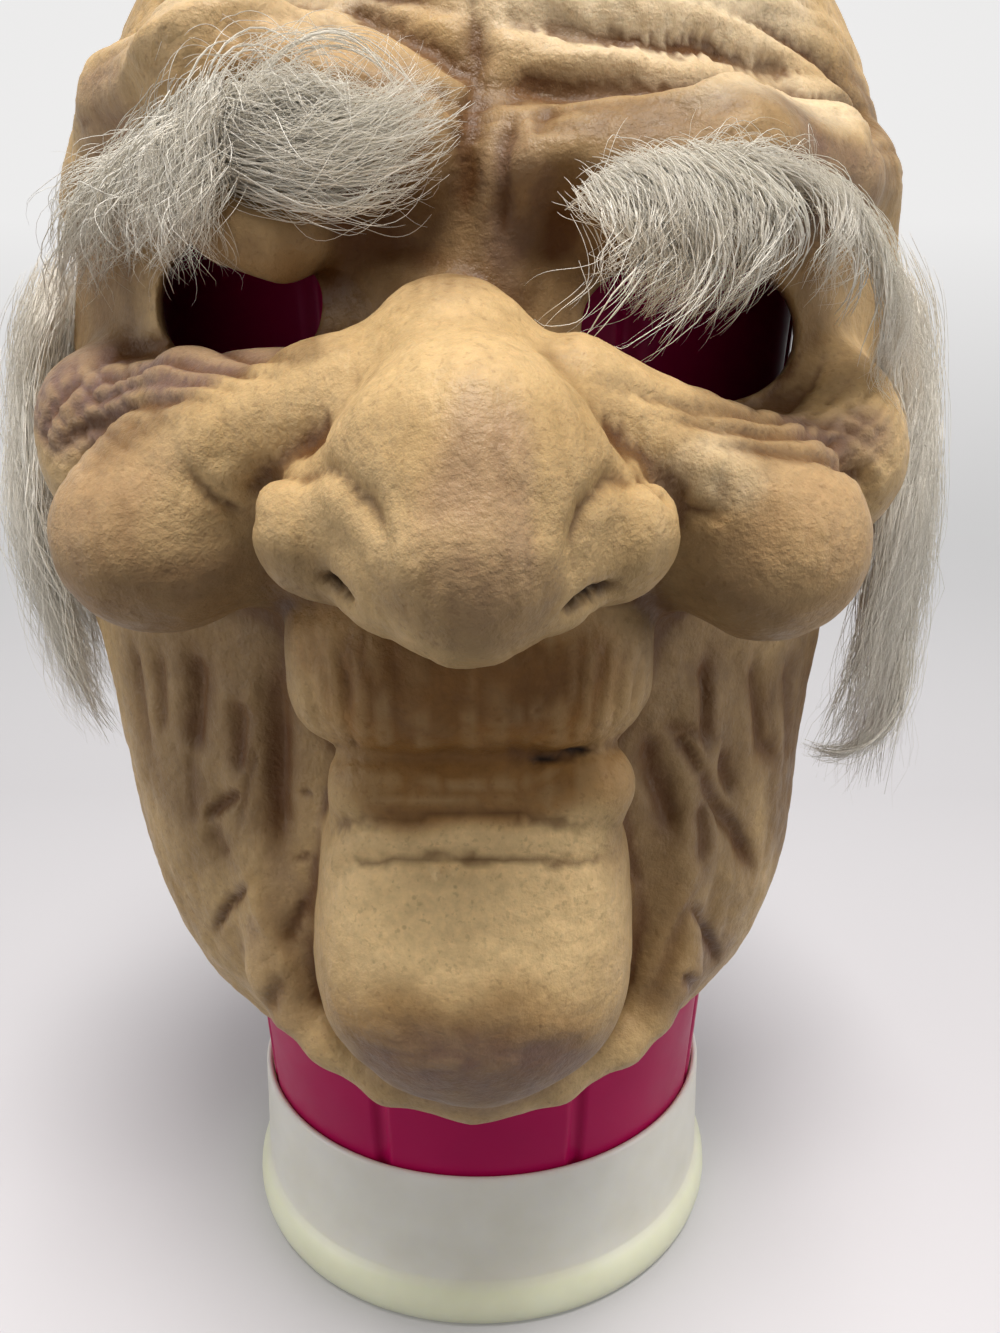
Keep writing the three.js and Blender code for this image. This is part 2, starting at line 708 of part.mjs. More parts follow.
function mask() {
  const group = new THREE.Group();
  const latex = { color: 0xb08a5a, roughness: 0.55 };
  const hair = { color: 0xd4d2cb, roughness: 0.9 };
  const geometry = ({ points, faces }) => toGeometry(points.flat(), faces.flat());
  group.add(part("mask_face", geometry(maskSkin()), latex));
  for (const name of Object.keys(locks)) group.add(part(name, geometry(hairTuft(name)), hair));
  group.position.set(...faceShift);
  return group;
}

function stand() {
  const group = new THREE.Group();
  group.add(part("stand_drum", tubGeometry(), { color: 0xa0245e, roughness: 0.4 }));
  group.add(part("stand_base", cupGeometry(), { color: 0xe6e6dc, roughness: 0.5 }));
  return group;
}

const object = new THREE.Group();
object.name = "old_man_mask";
object.add(mask(), stand());

export default object;
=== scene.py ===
"""Old man mask of moulded latex with tufts of false hair, on its tub and cup."""
import math
from itertools import product

import bpy
import numpy as np
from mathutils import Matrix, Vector


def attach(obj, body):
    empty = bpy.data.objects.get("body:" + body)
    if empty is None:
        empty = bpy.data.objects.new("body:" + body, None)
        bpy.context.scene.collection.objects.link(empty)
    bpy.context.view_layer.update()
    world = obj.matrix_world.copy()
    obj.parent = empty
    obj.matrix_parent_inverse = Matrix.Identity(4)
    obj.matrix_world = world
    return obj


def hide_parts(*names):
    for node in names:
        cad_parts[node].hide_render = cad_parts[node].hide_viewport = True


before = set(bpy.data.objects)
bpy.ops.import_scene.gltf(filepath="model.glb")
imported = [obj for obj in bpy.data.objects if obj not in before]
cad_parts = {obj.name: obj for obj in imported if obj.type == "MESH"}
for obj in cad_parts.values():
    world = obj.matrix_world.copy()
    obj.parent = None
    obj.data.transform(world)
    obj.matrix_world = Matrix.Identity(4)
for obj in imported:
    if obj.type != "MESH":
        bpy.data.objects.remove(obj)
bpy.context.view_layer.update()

MM = 0.001

# Driving dimensions in millimetres
WALL = 3.0
FACE_SHIFT = np.array([0.0, -18.0, -6.0])
BACK_EDGE = dict(y=8, sweep_from=190, sweep_over=70, sweep=30, power=1.5, corner=25)
LOWER_EDGE = dict(z=89, front=-70, fall=0.1)
TUB_CLEARANCE = dict(side=1.5, above=2, soft=6)
EYE_HOLES = [dict(centre=(-42, 256), half=(16, 12)), dict(centre=(40.5, 251), half=(21, 12.5))]
EYE_HOLE_DEPTH = dict(front=-86, back=-30, power=2.2)
TUB = dict(low=4, high=283, radius_low=61.9, slope=0.0805, wall=2.4, sides=512)
GROOVE = dict(count=8, width=4.8, depth=1.2)
CUP = dict(height=43, floor=3, top=67, gap=0.35, sides=192)

# Outside of the cup from its foot over the green bead, each point a radius and a height
CUP_BEAD = [
    (66.9, 0), (68.4, 0.5), (69.7, 1.8), (70.25, 3.6), (70.4, 5.5), (70.2, 7.6), (69.6, 9.5), (68.7, 11.2),
    (67.6, 12.3), (67.4, 12.9), (67.38, 20),
]

# Cells of the grids that the skin and its lining are made on
SKIN_CELL = 1.32
LINING_CELL = 3.2

# Forms of the head in the face's own frame, joined in this order. An egg has a centre, radii and turns about
# x and z in degrees, a pillow is an egg squared off, a roll is a chain of x, y, z, radius, and soft is the
# width of its seam. A mirrored form stands on both sides of the face.
FORMS = {
    "skull": dict(egg=((2.5, -3, 272), (93.5, 86, 94))),
    "jaw": dict(soft=40, egg=((-5, -16, 200), (89, 62, 82))),
    "jowls": dict(soft=30, egg=((-2, -26, 138), (78, 54, 66))),
    "muzzle": dict(soft=14, egg=((0, -58, 165), (44, 26, 66))),
    "left brow ridge": dict(soft=8, roll=(
        (-8, -87, 281, 9), (-40, -84, 291, 12), (-62, -62, 292, 10), (-76, -46, 280, 8))),
    "right brow ridge": dict(soft=8, roll=(
        (12, -87, 275, 9), (43, -86, 276, 12), (63, -67, 279, 12), (77, -46, 282, 9), (81, -38, 268, 8))),
    "left eye socket": dict(soft=8, hollow=True, egg=((-41, -100, 255), (25, 24, 16))),
    "right eye socket": dict(soft=8, hollow=True, egg=((42, -100, 251), (28, 24, 16))),
    "left corner by the nose": dict(soft=6, hollow=True, egg=((-14, -106, 264), (15, 20, 8))),
    "right corner by the nose": dict(soft=6, hollow=True, egg=((16, -106, 263), (10, 18, 12))),
    "left lid": dict(soft=6, roll=((-40, -86, 268, 7), (-31, -88, 265, 7))),
    "right lid": dict(soft=5, egg=((38, -82, 270), (18, 12, 9))),
    "middle of the face": dict(soft=4, egg=((0, -74, 221), (56, 34, 28))),
    "left eye bag": dict(soft=6, roll=((-20, -90, 241, 7), (-48, -88, 238, 9), (-74, -64, 236, 9))),
    "right eye bag": dict(soft=6, roll=((20, -90, 234, 7), (48, -89, 227, 9), (74, -64, 230, 9))),
    "cheekbones": dict(soft=8, mirrored=True, egg=((72, -58, 230), (13, 22, 20))),
    "left cheek beside the nose": dict(soft=7, roll=(
        (-16, -108, 238, 11), (-38, -98, 231, 12), (-54, -88, 222, 12))),
    "right cheek beside the nose": dict(soft=7, roll=(
        (16, -108, 237, 11), (38, -98, 226.5, 12), (54, -88, 219, 12))),
    "left cheek ball": dict(soft=8, egg=((-53, -93, 216), (18, 18, 17))),
    "right cheek ball": dict(soft=8, egg=((51.5, -93, 215), (17.5, 18, 17))),
    "nose": dict(soft=4, forms={
        "bridge": dict(roll=(
            (-3, -87, 250, 9), (-2, -105, 242, 14), (1, -124, 228, 17), (1, -132, 218, 13.5))),
        "root of the wings": dict(soft=10, egg=((1, -117, 221), (25, 19, 14), -20)),
        "lower rim": dict(soft=5, roll=(
            (-22, -115, 217, 6), (-10, -126, 212.5, 6.5), (1, -132, 211, 8), (12, -126, 212.5, 6.5),
            (24, -115, 217, 6))),
        "left wing": dict(soft=4, egg=((-21, -115, 219), (10, 13, 10.5), -15, -20)),
        "right wing": dict(soft=4, egg=((22.5, -115, 218.5), (9.5, 13, 10.5), -15, 20)),
    }),
    "upper lip": dict(soft=3, pillow=((0, -79, 193.5), (34, 26, 18.5))),
    "chin": dict(soft=3, forms={
        "front of the chin": dict(pillow=((0.5, -78, 142), (30.5, 28, 32))),
        "ball of the chin": dict(soft=6, egg=((0, -81, 133), (30, 30, 32))),
        "lower lip": dict(soft=6, roll=((-17, -93.5, 171, 9), (21, -93.5, 171, 9))),
    }),
    "fold round the chin": dict(soft=5, mirrored=True, roll=(
        (43, -67, 180, 7), (42, -68, 150, 8), (41, -70, 122, 8), (37.5, -73, 113, 5.5), (31, -77, 107.5, 4.6),
        (17, -83, 102.5, 4.6), (0, -86, 99, 4.5))),
}

# Creases on the skin, each with a depth, a width and a line of points
CREASES = [
    # Forehead
    (2.8, 2.8, ((1, -84, 303), (2, -89, 288), (0, -93, 279), (0, -90, 268))),
    (2.4, 2.6, ((7, -91, 284), (6, -94, 276), (6, -91, 265))),
    (3.2, 3, ((3, -85, 301), (31, -81, 298), (52, -72, 298), (62, -65, 298))),
    (4, 3.2, ((3, -88, 288), (30, -84, 291), (40, -81, 291), (52, -74, 293), (71, -60, 291))),
    (2.6, 2.8, ((44, -74, 306), (59, -65, 304), (69, -57, 300), (76, -52, 294), (70, -74, 282))),
    (1.6, 2.4, ((15, -90, 285), (12, -92, 283), (11, -95, 279))),
    (3.4, 3.2, ((-21, -81, 304), (-4, -87, 294), (2, -88, 289))),
    (3, 3.4, ((-61, -53, 314), (-40, -71, 312), (-6, -84, 303), (2, -85, 299))),
    (1.6, 2.2, ((-4, -92, 288), (-1, -93, 283))),
    # Cheeks
    (1.2, 1.4, ((-43, -110, 228), (-36, -107, 221))),
    (1.6, 2, ((54, -104, 231), (61, -99, 229), (71, -81, 226), (75, -77, 220))),
    (1.2, 1.4, ((32, -121, 220), (39, -108, 221), (40, -111, 228))),
    (1.8, 2, ((25, -120, 229), (30, -122, 225), (30, -124, 223))),
    # Chin
    (0.7, 1.8, ((-27, -98, 150), (-24, -101, 155), (-19, -103, 158))),
    (1.5, 2, ((-26, -96, 162), (-21, -99, 166), (-12, -101, 168), (13, -100, 168), (23, -98, 165))),
    (1.5, 1.8, ((-27, -98, 153), (-22, -101, 158), (-12, -103, 161), (13, -104, 160), (26, -98, 158))),
    (0.8, 1.6, ((-19, -99, 172), (16, -99, 171))),
    # Mouth
    (0.3, 0.9, ((-25, -96, 177), (-17, -98, 176), (6, -98, 176))),
    # Wings of the nose
    (1.6, 2.0, (
        (-30, -123, 221), (-32, -110, 225), (-24, -122, 228), (-16, -133, 228), (-12, -138, 225),
        (-9, -141, 220), (-10, -140, 215))),
    (1.6, 2.0, (
        (35, -106, 220), (32, -110, 225), (27, -120, 228), (21, -130, 227), (17, -135, 224), (15, -136, 219),
        (16, -134, 214))),
    # Lip
    (0.6, 0.8, ((-29, -98, 199), (-28, -100, 190), (-25, -98, 181))),
    (0.5, 0.8, ((-26, -100, 200), (-24, -102, 191), (-23, -98, 180))),
    (0.6, 0.8, ((-22, -102, 200), (-20, -103, 191), (-20, -99, 179))),
    (0.35, 0.8, ((-17, -104, 198), (-16, -104, 190), (-16, -101, 181))),
    (0.4, 0.8, ((-13, -105, 197), (-12, -105, 190), (-12, -101, 180))),
    (0.3, 0.8, ((10, -105, 196), (10, -105, 188), (9, -102, 180))),
    (0.35, 0.8, ((15, -104, 197), (13, -101, 180))),
    (0.5, 0.8, ((20, -103, 200), (19, -104, 191), (17, -101, 181))),
    (0.5, 0.8, ((24, -102, 200), (20, -100, 181))),
    (0.6, 0.8, ((28, -99, 200), (26, -101, 190), (24, -98, 181))),
    (0.5, 0.8, ((31, -96, 198), (30, -98, 190), (27, -98, 182))),
    # Left bag
    (1.5, 1.5, ((-69, -77, 245), (-65, -69, 249), (-53, -74, 250), (-24, -114, 243))),
    (1.9, 1.6, ((-70, -81, 239), (-66, -80, 244), (-53, -92, 246), (-41, -100, 244), (-27, -114, 242))),
    (1.7, 1.6, ((-74, -80, 234), (-69, -82, 239), (-59, -89, 242), (-32, -112, 240))),
    (2, 1.6, ((-78, -78, 229), (-71, -82, 234), (-59, -91, 238), (-46, -104, 239), (-37, -110, 238))),
    (1.6, 1.5, ((-78, -78, 236), (-71, -78, 244))),
    (1.4, 1.5, ((-80, -75, 231), (-75, -78, 240))),
    # Right bag
    (1.5, 1.5, ((20, -118, 240), (37, -110, 238), (49, -101, 239), (61, -84, 238))),
    (1.9, 1.6, ((28, -115, 236), (48, -106, 235), (59, -94, 235), (70, -82, 232))),
    (1.6, 1.6, ((34, -113, 233), (44, -110, 232), (64, -97, 229), (75, -79, 225))),
    (1.2, 1.5, ((62, -84, 238), (74, -81, 232), (77, -79, 227))),
    (1, 1.5, ((68, -80, 239), (77, -79, 232))),
]

# Soft brown grooves of the jowls, each with a strength, a width and a line
STROKES = [
    # Left jowl
    (0.5, 2.4, ((-74, -56, 189), (-74, -55, 179), (-72, -56, 165))),
    (0.5, 2.2, ((-66, -62, 190), (-68, -60, 170))),
    (0.95, 3.2, ((-57, -68, 190), (-57, -68, 182), (-60, -66, 168))),
    (0.45, 2.4, ((-60, -66, 168), (-61, -65, 151))),
    (0.85, 3.0, ((-47, -75, 182), (-48, -74, 166))),
    (1.0, 1.1, ((-57, -68, 154), (-53, -71, 158), (-48, -74, 162))),
    (0.45, 3.2, ((-56, -68, 152), (-52, -71, 146))),
    (1.0, 3.0, ((-38, -78, 190), (-39, -78, 172), (-39, -78, 152))),
    (0.5, 1.4, ((-43, -77, 173), (-45, -76, 167), (-49, -75, 156))),
    (0.75, 1.0, ((-59, -61, 124), (-54, -67, 133), (-47, -75, 142))),
    (0.6, 1.1, ((-39, -78, 131), (-37, -78, 135), (-34, -79, 141))),
    (0.45, 0.8, ((-34, -80, 164), (-32, -81, 165))),
    (0.45, 0.8, ((-37, -79, 149), (-33, -80, 151))),
    (0.5, 1.6, ((-44, -77, 114), (-42, -79, 119), (-39, -79, 123))),
    # Right jowl
    (0.95, 2.4, ((48, -70, 190), (48, -73, 181), (49, -73, 170))),
    (1.0, 2.0, ((47, -74, 167), (49, -72, 162), (58, -63, 148), (63, -57, 137))),
    (0.8, 3.0, ((48, -74, 160), (49, -73, 146))),
    (0.9, 2.6, ((34, -79, 176), (36, -78, 168), (41, -77, 154))),
    (0.8, 1.4, ((40, -76, 175), (44, -76, 171), (47, -74, 166))),
    (0.6, 1.6, ((38, -77, 177), (51, -69, 172))),
    (0.8, 2.4, ((59, -62, 187), (61, -60, 178), (63, -58, 167), (67, -54, 163))),
    (0.95, 1.2, ((45, -76, 138), (52, -63, 124), (57, -55, 113))),
    (0.7, 1.4, ((44, -78, 123), (48, -72, 116))),
    (0.6, 1.4, ((31, -82, 160), (31, -82, 154), (33, -79, 145))),
    (0.8, 2.0, ((52, -68, 169), (56, -64, 158))),
    (0.4, 2.4, ((69, -53, 186), (73, -47, 158))),
    (0.45, 2.4, ((45, -76, 141), (40, -78, 126), (35, -81, 115))),
]
STROKE_DEPTH = 2.6

# Narrow openings, painted near black for the shadow inside, each with a depth, a width and a line
SLITS = [
    # Nostrils
    (5, 1.0, ((-20, -127, 213), (-17, -130, 212), (-15, -132, 211))),
    (5, 1.1, ((15, -133, 209), (18, -131, 211), (22, -126, 211))),
    # Mouth
    (2, 0.6, ((11, -99, 177), (16, -99, 178), (21, -98, 179))),
]

# Raised edges, each with a height, a width and a line
RIDGES = [
    # Brows
    (1.8, 2.4, (
        (-61, -78, 290), (-46, -95, 294), (-40, -96, 296), (-35, -94, 297), (-21, -83, 300), (-7, -90, 291),
        (-2, -90, 289))),
    (1.8, 2.4, (
        (15, -91, 284), (25, -90, 285), (37, -93, 286), (50, -83, 290), (61, -66, 293), (75, -49, 294))),
    # Jowls
    (1.2, 2.4, ((-48, -75, 145), (-40, -78, 128), (-37, -80, 118))),
    (1.2, 2.4, ((47, -76, 146), (39, -77, 130), (33, -81, 115))),
    # Mole
    (1.3, 1, ((-5, -106, 159), (-4, -106, 159))),
]

# Sheets of hair in the face's own frame. Each row is a guide strand from its root to its tip, and the
# strands lie between the rows. Share is the sheet's part of the tuft, spread its thickness, wave and turns
# the curl that the strands of a clump have in common, fuzz each strand's own arcs, gather how far the tips
# of a clump draw together and loose how wide a clump is at its roots, in rows.
HAIR = {
    "eyebrow_left": [
        dict(share=0.33, spread=4.4, wave=1.8, turns=1.5, fuzz=2.4, gather=0.3, loose=0.5, clumps=36, rows=(
            ((-38, -94, 283), (-22, -101, 276), (-8, -102, 285)),
            ((-41, -92, 280), (-22, -102, 272), (-4, -103, 281)),
            ((-42, -91, 277), (-22, -102, 268), (-4, -103, 276)),
            ((-40, -91, 274), (-22, -101, 264), (-8, -101, 269)),
        )),
        dict(share=0.19, spread=4.4, wave=1.8, turns=1.8, fuzz=3.6, gather=0.0, loose=0.7, clumps=60, rows=(
            ((-46, -88, 282), (-38, -97, 286), (-30, -97, 279)),
            ((-34, -94, 283), (-24, -101, 287), (-12, -101, 280)),
        )),
        dict(share=0.03, spread=4.5, wave=1.6, turns=0.9, fuzz=2.4, gather=0.0, loose=0.7, clumps=30, rows=(
            ((-46, -87, 282), (-42, -98, 299), (-30, -99, 285)),
            ((-34, -94, 284), (-20, -102, 300), (-7, -101, 282)),
        )),
        dict(share=0.45, spread=4.6, wave=2.6, turns=1.7, fuzz=3.0, gather=0.4, loose=0.45, clumps=22, rows=(
            ((-37, -95, 285), (-38, -99, 274), (-41, -93, 262)),
            ((-40, -94, 286), (-46, -97, 273), (-50, -90, 260)),
            ((-42, -93, 286), (-53, -94, 276), (-54, -87, 263)),
            ((-44, -91, 285), (-62, -86, 276), (-66, -75, 262)),
            ((-47, -88, 283), (-68, -79, 277), (-78, -61, 260)),
            ((-51, -84, 281), (-75, -72, 278), (-86, -52, 262)),
        )),
    ],
    "eyebrow_right": [
        dict(share=0.78, spread=3.4, wave=3.4, turns=1.2, fuzz=1.6, gather=0.8, loose=0.36, clumps=20, rows=(
            ((16, -98, 270), (21, -104, 265), (21, -102, 259)),
            ((21, -100, 273), (34, -108, 267), (27, -103, 255)),
            ((27, -100, 275), (44, -108, 265), (34, -101, 252)),
            ((33, -101, 276), (54, -107, 266), (42, -99, 253)),
            ((41, -99, 276), (62, -102, 268), (53, -97, 257)),
            ((48, -97, 275), (69, -96, 268), (62, -91, 256)),
            ((53, -93, 274), (74, -89, 266), (71, -83, 248)),
            ((58, -88, 273), (79, -81, 265), (79, -72, 241)),
            ((65, -80, 272), (85, -69, 260), (87, -59, 229)),
        )),
        dict(share=0.20, spread=3.0, wave=1.4, turns=1.6, fuzz=2.8, gather=0.0, loose=0.6, clumps=60, rows=(
            ((16, -98, 268), (24, -102, 273), (34, -102, 271)),
            ((32, -100, 274), (43, -101, 278), (52, -97, 273)),
            ((50, -94, 273), (60, -89, 274), (70, -78, 266)),
        )),
        dict(share=0.02, spread=4.0, wave=2.6, turns=0.9, fuzz=2.4, gather=0.0, loose=0.7, clumps=14, rows=(
            ((18, -99, 268), (22, -108, 256), (10, -104, 249)),
            ((32, -102, 272), (46, -110, 258), (26, -104, 244)),
        )),
    ],
    "side_hair_left": [
        dict(share=1.0, spread=7.5, wave=3.4, turns=2.2, fuzz=1.6, gather=0.6, loose=0.3, clumps=34, rows=(
            ((-88, -44, 262), (-100, -42, 240), (-101, -38, 205), (-92, -33, 174)),
            ((-91, -34, 270), (-107, -30, 244), (-110, -26, 205), (-98, -26, 170)),
            ((-92, -24, 272), (-110, -20, 244), (-113, -18, 205), (-101, -20, 172)),
            ((-90, -10, 266), (-102, -6, 240), (-104, -4, 206), (-97, -6, 182)),
        )),
    ],
    "side_hair_right": [
        dict(share=0.86, spread=7.5, wave=3.4, turns=2.2, fuzz=1.6, gather=0.6, loose=0.3, clumps=34, rows=(
            ((88, -46, 258), (96, -44, 238), (96, -38, 200), (86, -32, 166)),
            ((92, -34, 270), (107, -32, 246), (106, -28, 205), (98, -24, 158)),
            ((92, -24, 272), (109, -20, 246), (112, -18, 205), (110, -18, 158)),
            ((89, -10, 266), (101, -6, 240), (103, -4, 206), (96, -8, 160)),
        )),
        dict(share=0.14, spread=4.5, wave=1.6, turns=1.4, fuzz=1.2, gather=0.5, loose=0.3, clumps=10, rows=(
            ((106, -22, 186), (114, -18, 168), (104, -22, 150), (86, -28, 156)),
            ((102, -16, 184), (108, -12, 166), (100, -16, 148), (88, -22, 154)),
        )),
    ],
}

# Two layers of each tuft: few thick strands inside many thin ones
HAIR_LAYERS = [
    dict(triangles=0.15, thick=0.34, points=9, inside=0.5, stray=0.0),
    dict(triangles=0.85, thick=0.13, points=18, inside=1.0, stray=0.08),
]
HAIR_TRIANGLES = dict(
    eyebrow_left=190000, eyebrow_right=190000, side_hair_left=150000, side_hair_right=160000,
)


# Distances and their joining

def size(v):
    return np.sqrt((v * v).sum(-1))


def unit(v):
    return v / np.maximum(size(v), 1e-9)[..., None]


def join(a, b, soft):
    """The lower of two distances, with a soft seam."""
    h = np.maximum(soft - np.abs(a - b), 0) / soft
    return np.minimum(a, b) - h * h * soft * 0.25


def cut(a, b, soft):
    return -join(-a, b, soft)


def turn(u, v, degrees):
    c, s = math.cos(math.radians(degrees)), math.sin(math.radians(degrees))
    return u * c + v * s, v * c - u * s


def egg(p, centre, radii, tilt=0, yaw=0):
    x, y, z = (p - np.array(centre, float)).T
    x, y = turn(x, y, yaw)
    y, z = turn(y, z, tilt)
    u = np.stack([x, y, z], -1) / np.array(radii, float)
    reach = size(u)
    steep = np.maximum(size(u / np.array(radii, float)), 1e-3)
    return np.where(reach < 1e-3, -min(radii), reach * (reach - 1) / steep)


def pillow(p, centre, radii, power=3.2):
    r = np.array(radii, float)
    q = np.abs(p - np.array(centre, float)) / r
    reach = np.maximum((q ** power).sum(-1) ** (1 / power), 1e-3)
    return (reach - 1) / size((q / reach[:, None]) ** (power - 1) / r)


def roll(p, chain, bend=4):
    best = None
    for start, end in zip(chain, chain[1:]):
        a, b = np.array(start[:3], float), np.array(end[:3], float)
        h = np.clip((p - a) @ (b - a) / ((b - a) @ (b - a)), 0, 1)
        distance = size(p - a - h[:, None] * (b - a)) - (start[3] * (1 - h) + end[3] * h)
        best = distance if best is None else join(best, distance, bend)
    return best


def single(p, form):
    if form.get("mirrored"):
        rounding = 0.7
        p = np.stack([np.hypot(p[:, 0], rounding), p[:, 1], p[:, 2]], -1)
    if "egg" in form:
        return egg(p, *form["egg"])
    if "pillow" in form:
        return pillow(p, *form["pillow"])
    if "roll" in form:
        return roll(p, form["roll"])
    return joined(p, form["forms"])


def joined(p, forms):
    first, *others = forms.values()
    value = single(p, first)
    for form in others:
        blend = cut if form.get("hollow") else join
        value = blend(value, single(p, form), form["soft"])
    return value


def head(p):
    """Below zero inside the whole head."""
    return joined(p, FORMS)


def lining(p):
    return head(p) + WALL


def trim(p):
    """Above zero where the mask is cut away."""
    x, y, z = p.T
    sweep = np.clip((BACK_EDGE["sweep_from"] - z) / BACK_EDGE["sweep_over"], 0, 1) ** BACK_EDGE["power"]
    behind = y - BACK_EDGE["y"] + BACK_EDGE["sweep"] * sweep
    below = LOWER_EDGE["z"] - LOWER_EDGE["fall"] * np.maximum(y - LOWER_EDGE["front"], 0) - z
    height = z + FACE_SHIFT[2]
    side = tub_radius(height) + TUB_CLEARANCE["side"] - np.hypot(x, y + FACE_SHIFT[1])
    in_tub = np.minimum(side, TUB["high"] + TUB_CLEARANCE["above"] - height)
    value = cut(cut(behind, -below, BACK_EDGE["corner"]), -in_tub, TUB_CLEARANCE["soft"])
    for hole in EYE_HOLES:
        power = EYE_HOLE_DEPTH["power"]
        a = np.abs((x - hole["centre"][0]) / hole["half"][0])
        b = np.abs((z - hole["centre"][1]) / hole["half"][1])
        inside = (1 - (a ** power + b ** power) ** (1 / power)) * min(hole["half"])
        inside = np.minimum(inside, y - EYE_HOLE_DEPTH["front"])
        value = np.where(y > EYE_HOLE_DEPTH["back"], value, np.maximum(value, inside))
    return value


def tub_radius(height):
    return TUB["radius_low"] + TUB["slope"] * (height - TUB["low"])


# Surface of a form as a net of quads

GRID_LOW = np.array([-112.0, -160.0, 74.0])
GRID_HIGH = np.array([112.0, 24.0, 384.0])

# Fine cells along a coarse one, how many coarse cells from the surface the fine grid reaches, the least
# slope that a step onto the surface reckons with, and rounds of evening out
BLOCK = 6
NEAR_BLOCKS = 1.3
LEAST_SLOPE = 0.05
RELAX_ROUNDS = 2


def sampled(form, cell):
    """Values of the form on a fine grid; far from the surface a coarse value stands in."""
    count = np.ceil((GRID_HIGH - GRID_LOW) / (cell * BLOCK)).astype(int)
    axes = [low + np.arange(steps + 1) * cell * BLOCK for low, steps in zip(GRID_LOW, count)]
    grid = np.stack(np.meshgrid(*axes, indexing="ij"), -1)
    coarse = form(grid.reshape(-1, 3)).reshape(grid.shape[:3])
    i, j, k = count
    corners = [coarse[a:a + i, b:b + j, c:c + k] for a, b, c in product((0, 1), repeat=3)]
    near = np.abs(np.stack(corners)).min(0) < cell * BLOCK * NEAR_BLOCKS
    values = coarse[:-1, :-1, :-1]
    for axis in range(3):
        values = np.repeat(values, BLOCK, axis)
        near = np.repeat(near, BLOCK, axis)
    values = np.pad(values, ((0, 1),) * 3, mode="edge")
    near = np.pad(near, ((0, 1),) * 3, mode="edge")
    near[1:] |= near[:-1].copy()
    near[:, 1:] |= near[:, :-1].copy()
    near[:, :, 1:] |= near[:, :, :-1].copy()
    where = np.nonzero(near)
    values[where] = form(GRID_LOW + np.stack(where, -1) * cell)
    return values


def net(form, cell):
    """Quads near the surface of the form, one point in each grid cell that the surface crosses."""
    values = sampled(form, cell)
    shape = np.array(values.shape) - 1
    total = np.zeros((shape.prod(), 3))
    number = np.zeros(shape.prod())
    quads = []
    for axis in range(3):
        u, v = (axis + 1) % 3, (axis + 2) % 3
        lower = np.take(values, np.arange(shape[axis]), axis)
        upper = np.take(values, np.arange(1, shape[axis] + 1), axis)
        index = np.argwhere((lower < 0) != (upper < 0))
        keep = (index[:, u] > 0) & (index[:, v] > 0) & (index[:, u] < shape[u]) & (index[:, v] < shape[v])
        index = index[keep]
        a, b = lower[tuple(index.T)], upper[tuple(index.T)]
        point = index.astype(float)
        point[:, axis] += a / (a - b)
        around = []
        for du, dv in ((0, 0), (1, 0), (1, 1), (0, 1)):
            near = index.copy()
            near[:, u] -= du
            near[:, v] -= dv
            flat = np.ravel_multi_index(near.T, shape)
            for k in range(3):
                total[:, k] += np.bincount(flat, point[:, k], len(total))
            number += np.bincount(flat, minlength=len(number))
            around.append(flat)
        around = np.stack(around, -1)
        around[a > 0] = around[a > 0][:, ::-1]
        quads.append(around)
    quads = np.concatenate(quads)
    used = np.unique(quads)
    name = np.zeros(len(number), int)
    name[used] = np.arange(len(used))
    return GRID_LOW + total[used] / number[used, None] * cell, name[quads]


STENCIL = np.array([[1, 1, 1], [1, -1, -1], [-1, 1, -1], [-1, -1, 1]], float)


def slope(form, p, step=0.25):
    """Value and gradient from four points round each one."""
    values = [form(p + corner * step) for corner in STENCIL]
    gradient = sum(v[:, None] * corner for v, corner in zip(values, STENCIL)) / (4 * step)
    return sum(values) / 4, gradient


def onto(form, p):
    """One step of the points onto the surface."""
    longest = 3.0
    value, gradient = slope(form, p)
    move = -(value / np.maximum((gradient ** 2).sum(-1), LEAST_SLOPE))[:, None] * gradient
    return p + move * np.minimum(1, longest / np.maximum(size(move), 1e-9))[:, None]


def onto_edge(form, p):
    """Points moved onto the curve where the surface meets the cut edge."""
    for _ in range(4):
        value, gradient = slope(trim, p)
        normal = unit(slope(form, p)[1])
        along = gradient - (gradient * normal).sum(-1)[:, None] * normal
        p = onto(form, p - (value / np.maximum((along ** 2).sum(-1), LEAST_SLOPE))[:, None] * along)
    return p


def edge_pairs(faces):
    """Both directions of each edge of the faces, as two columns."""
    count = faces.shape[1]
    pairs = np.concatenate([faces[:, [k, (k + 1) % count]] for k in range(count)])
    return np.concatenate([pairs, pairs[:, ::-1]])


def neighbour_mean(p, pairs, number):
    sums = [np.bincount(pairs[:, 0], p[pairs[:, 1], k], len(p)) for k in range(3)]
    return np.stack(sums, -1) / number[:, None]


def relax(form, p, quads, rounds, share=0.5):
    """Points evened out along the surface."""
    pairs = edge_pairs(quads)
    number = np.bincount(pairs[:, 0], minlength=len(p))
    for _ in range(rounds):
        normal = unit(slope(form, p)[1])
        step = neighbour_mean(p, pairs, number) - p
        step -= (step * normal).sum(-1)[:, None] * normal
        p = onto(form, p + step * share)
    return p


def triangles(p, quads):
    """Each quad cut along its shorter diagonal."""
    a, b, c, d = (p[quads[:, k]] for k in range(4))
    short = (size(a - c) <= size(b - d))[:, None]
    first = np.where(short, quads[:, [0, 1, 2]], quads[:, [1, 2, 3]])
    second = np.where(short, quads[:, [0, 2, 3]], quads[:, [1, 3, 0]])
    return np.concatenate([first, second])


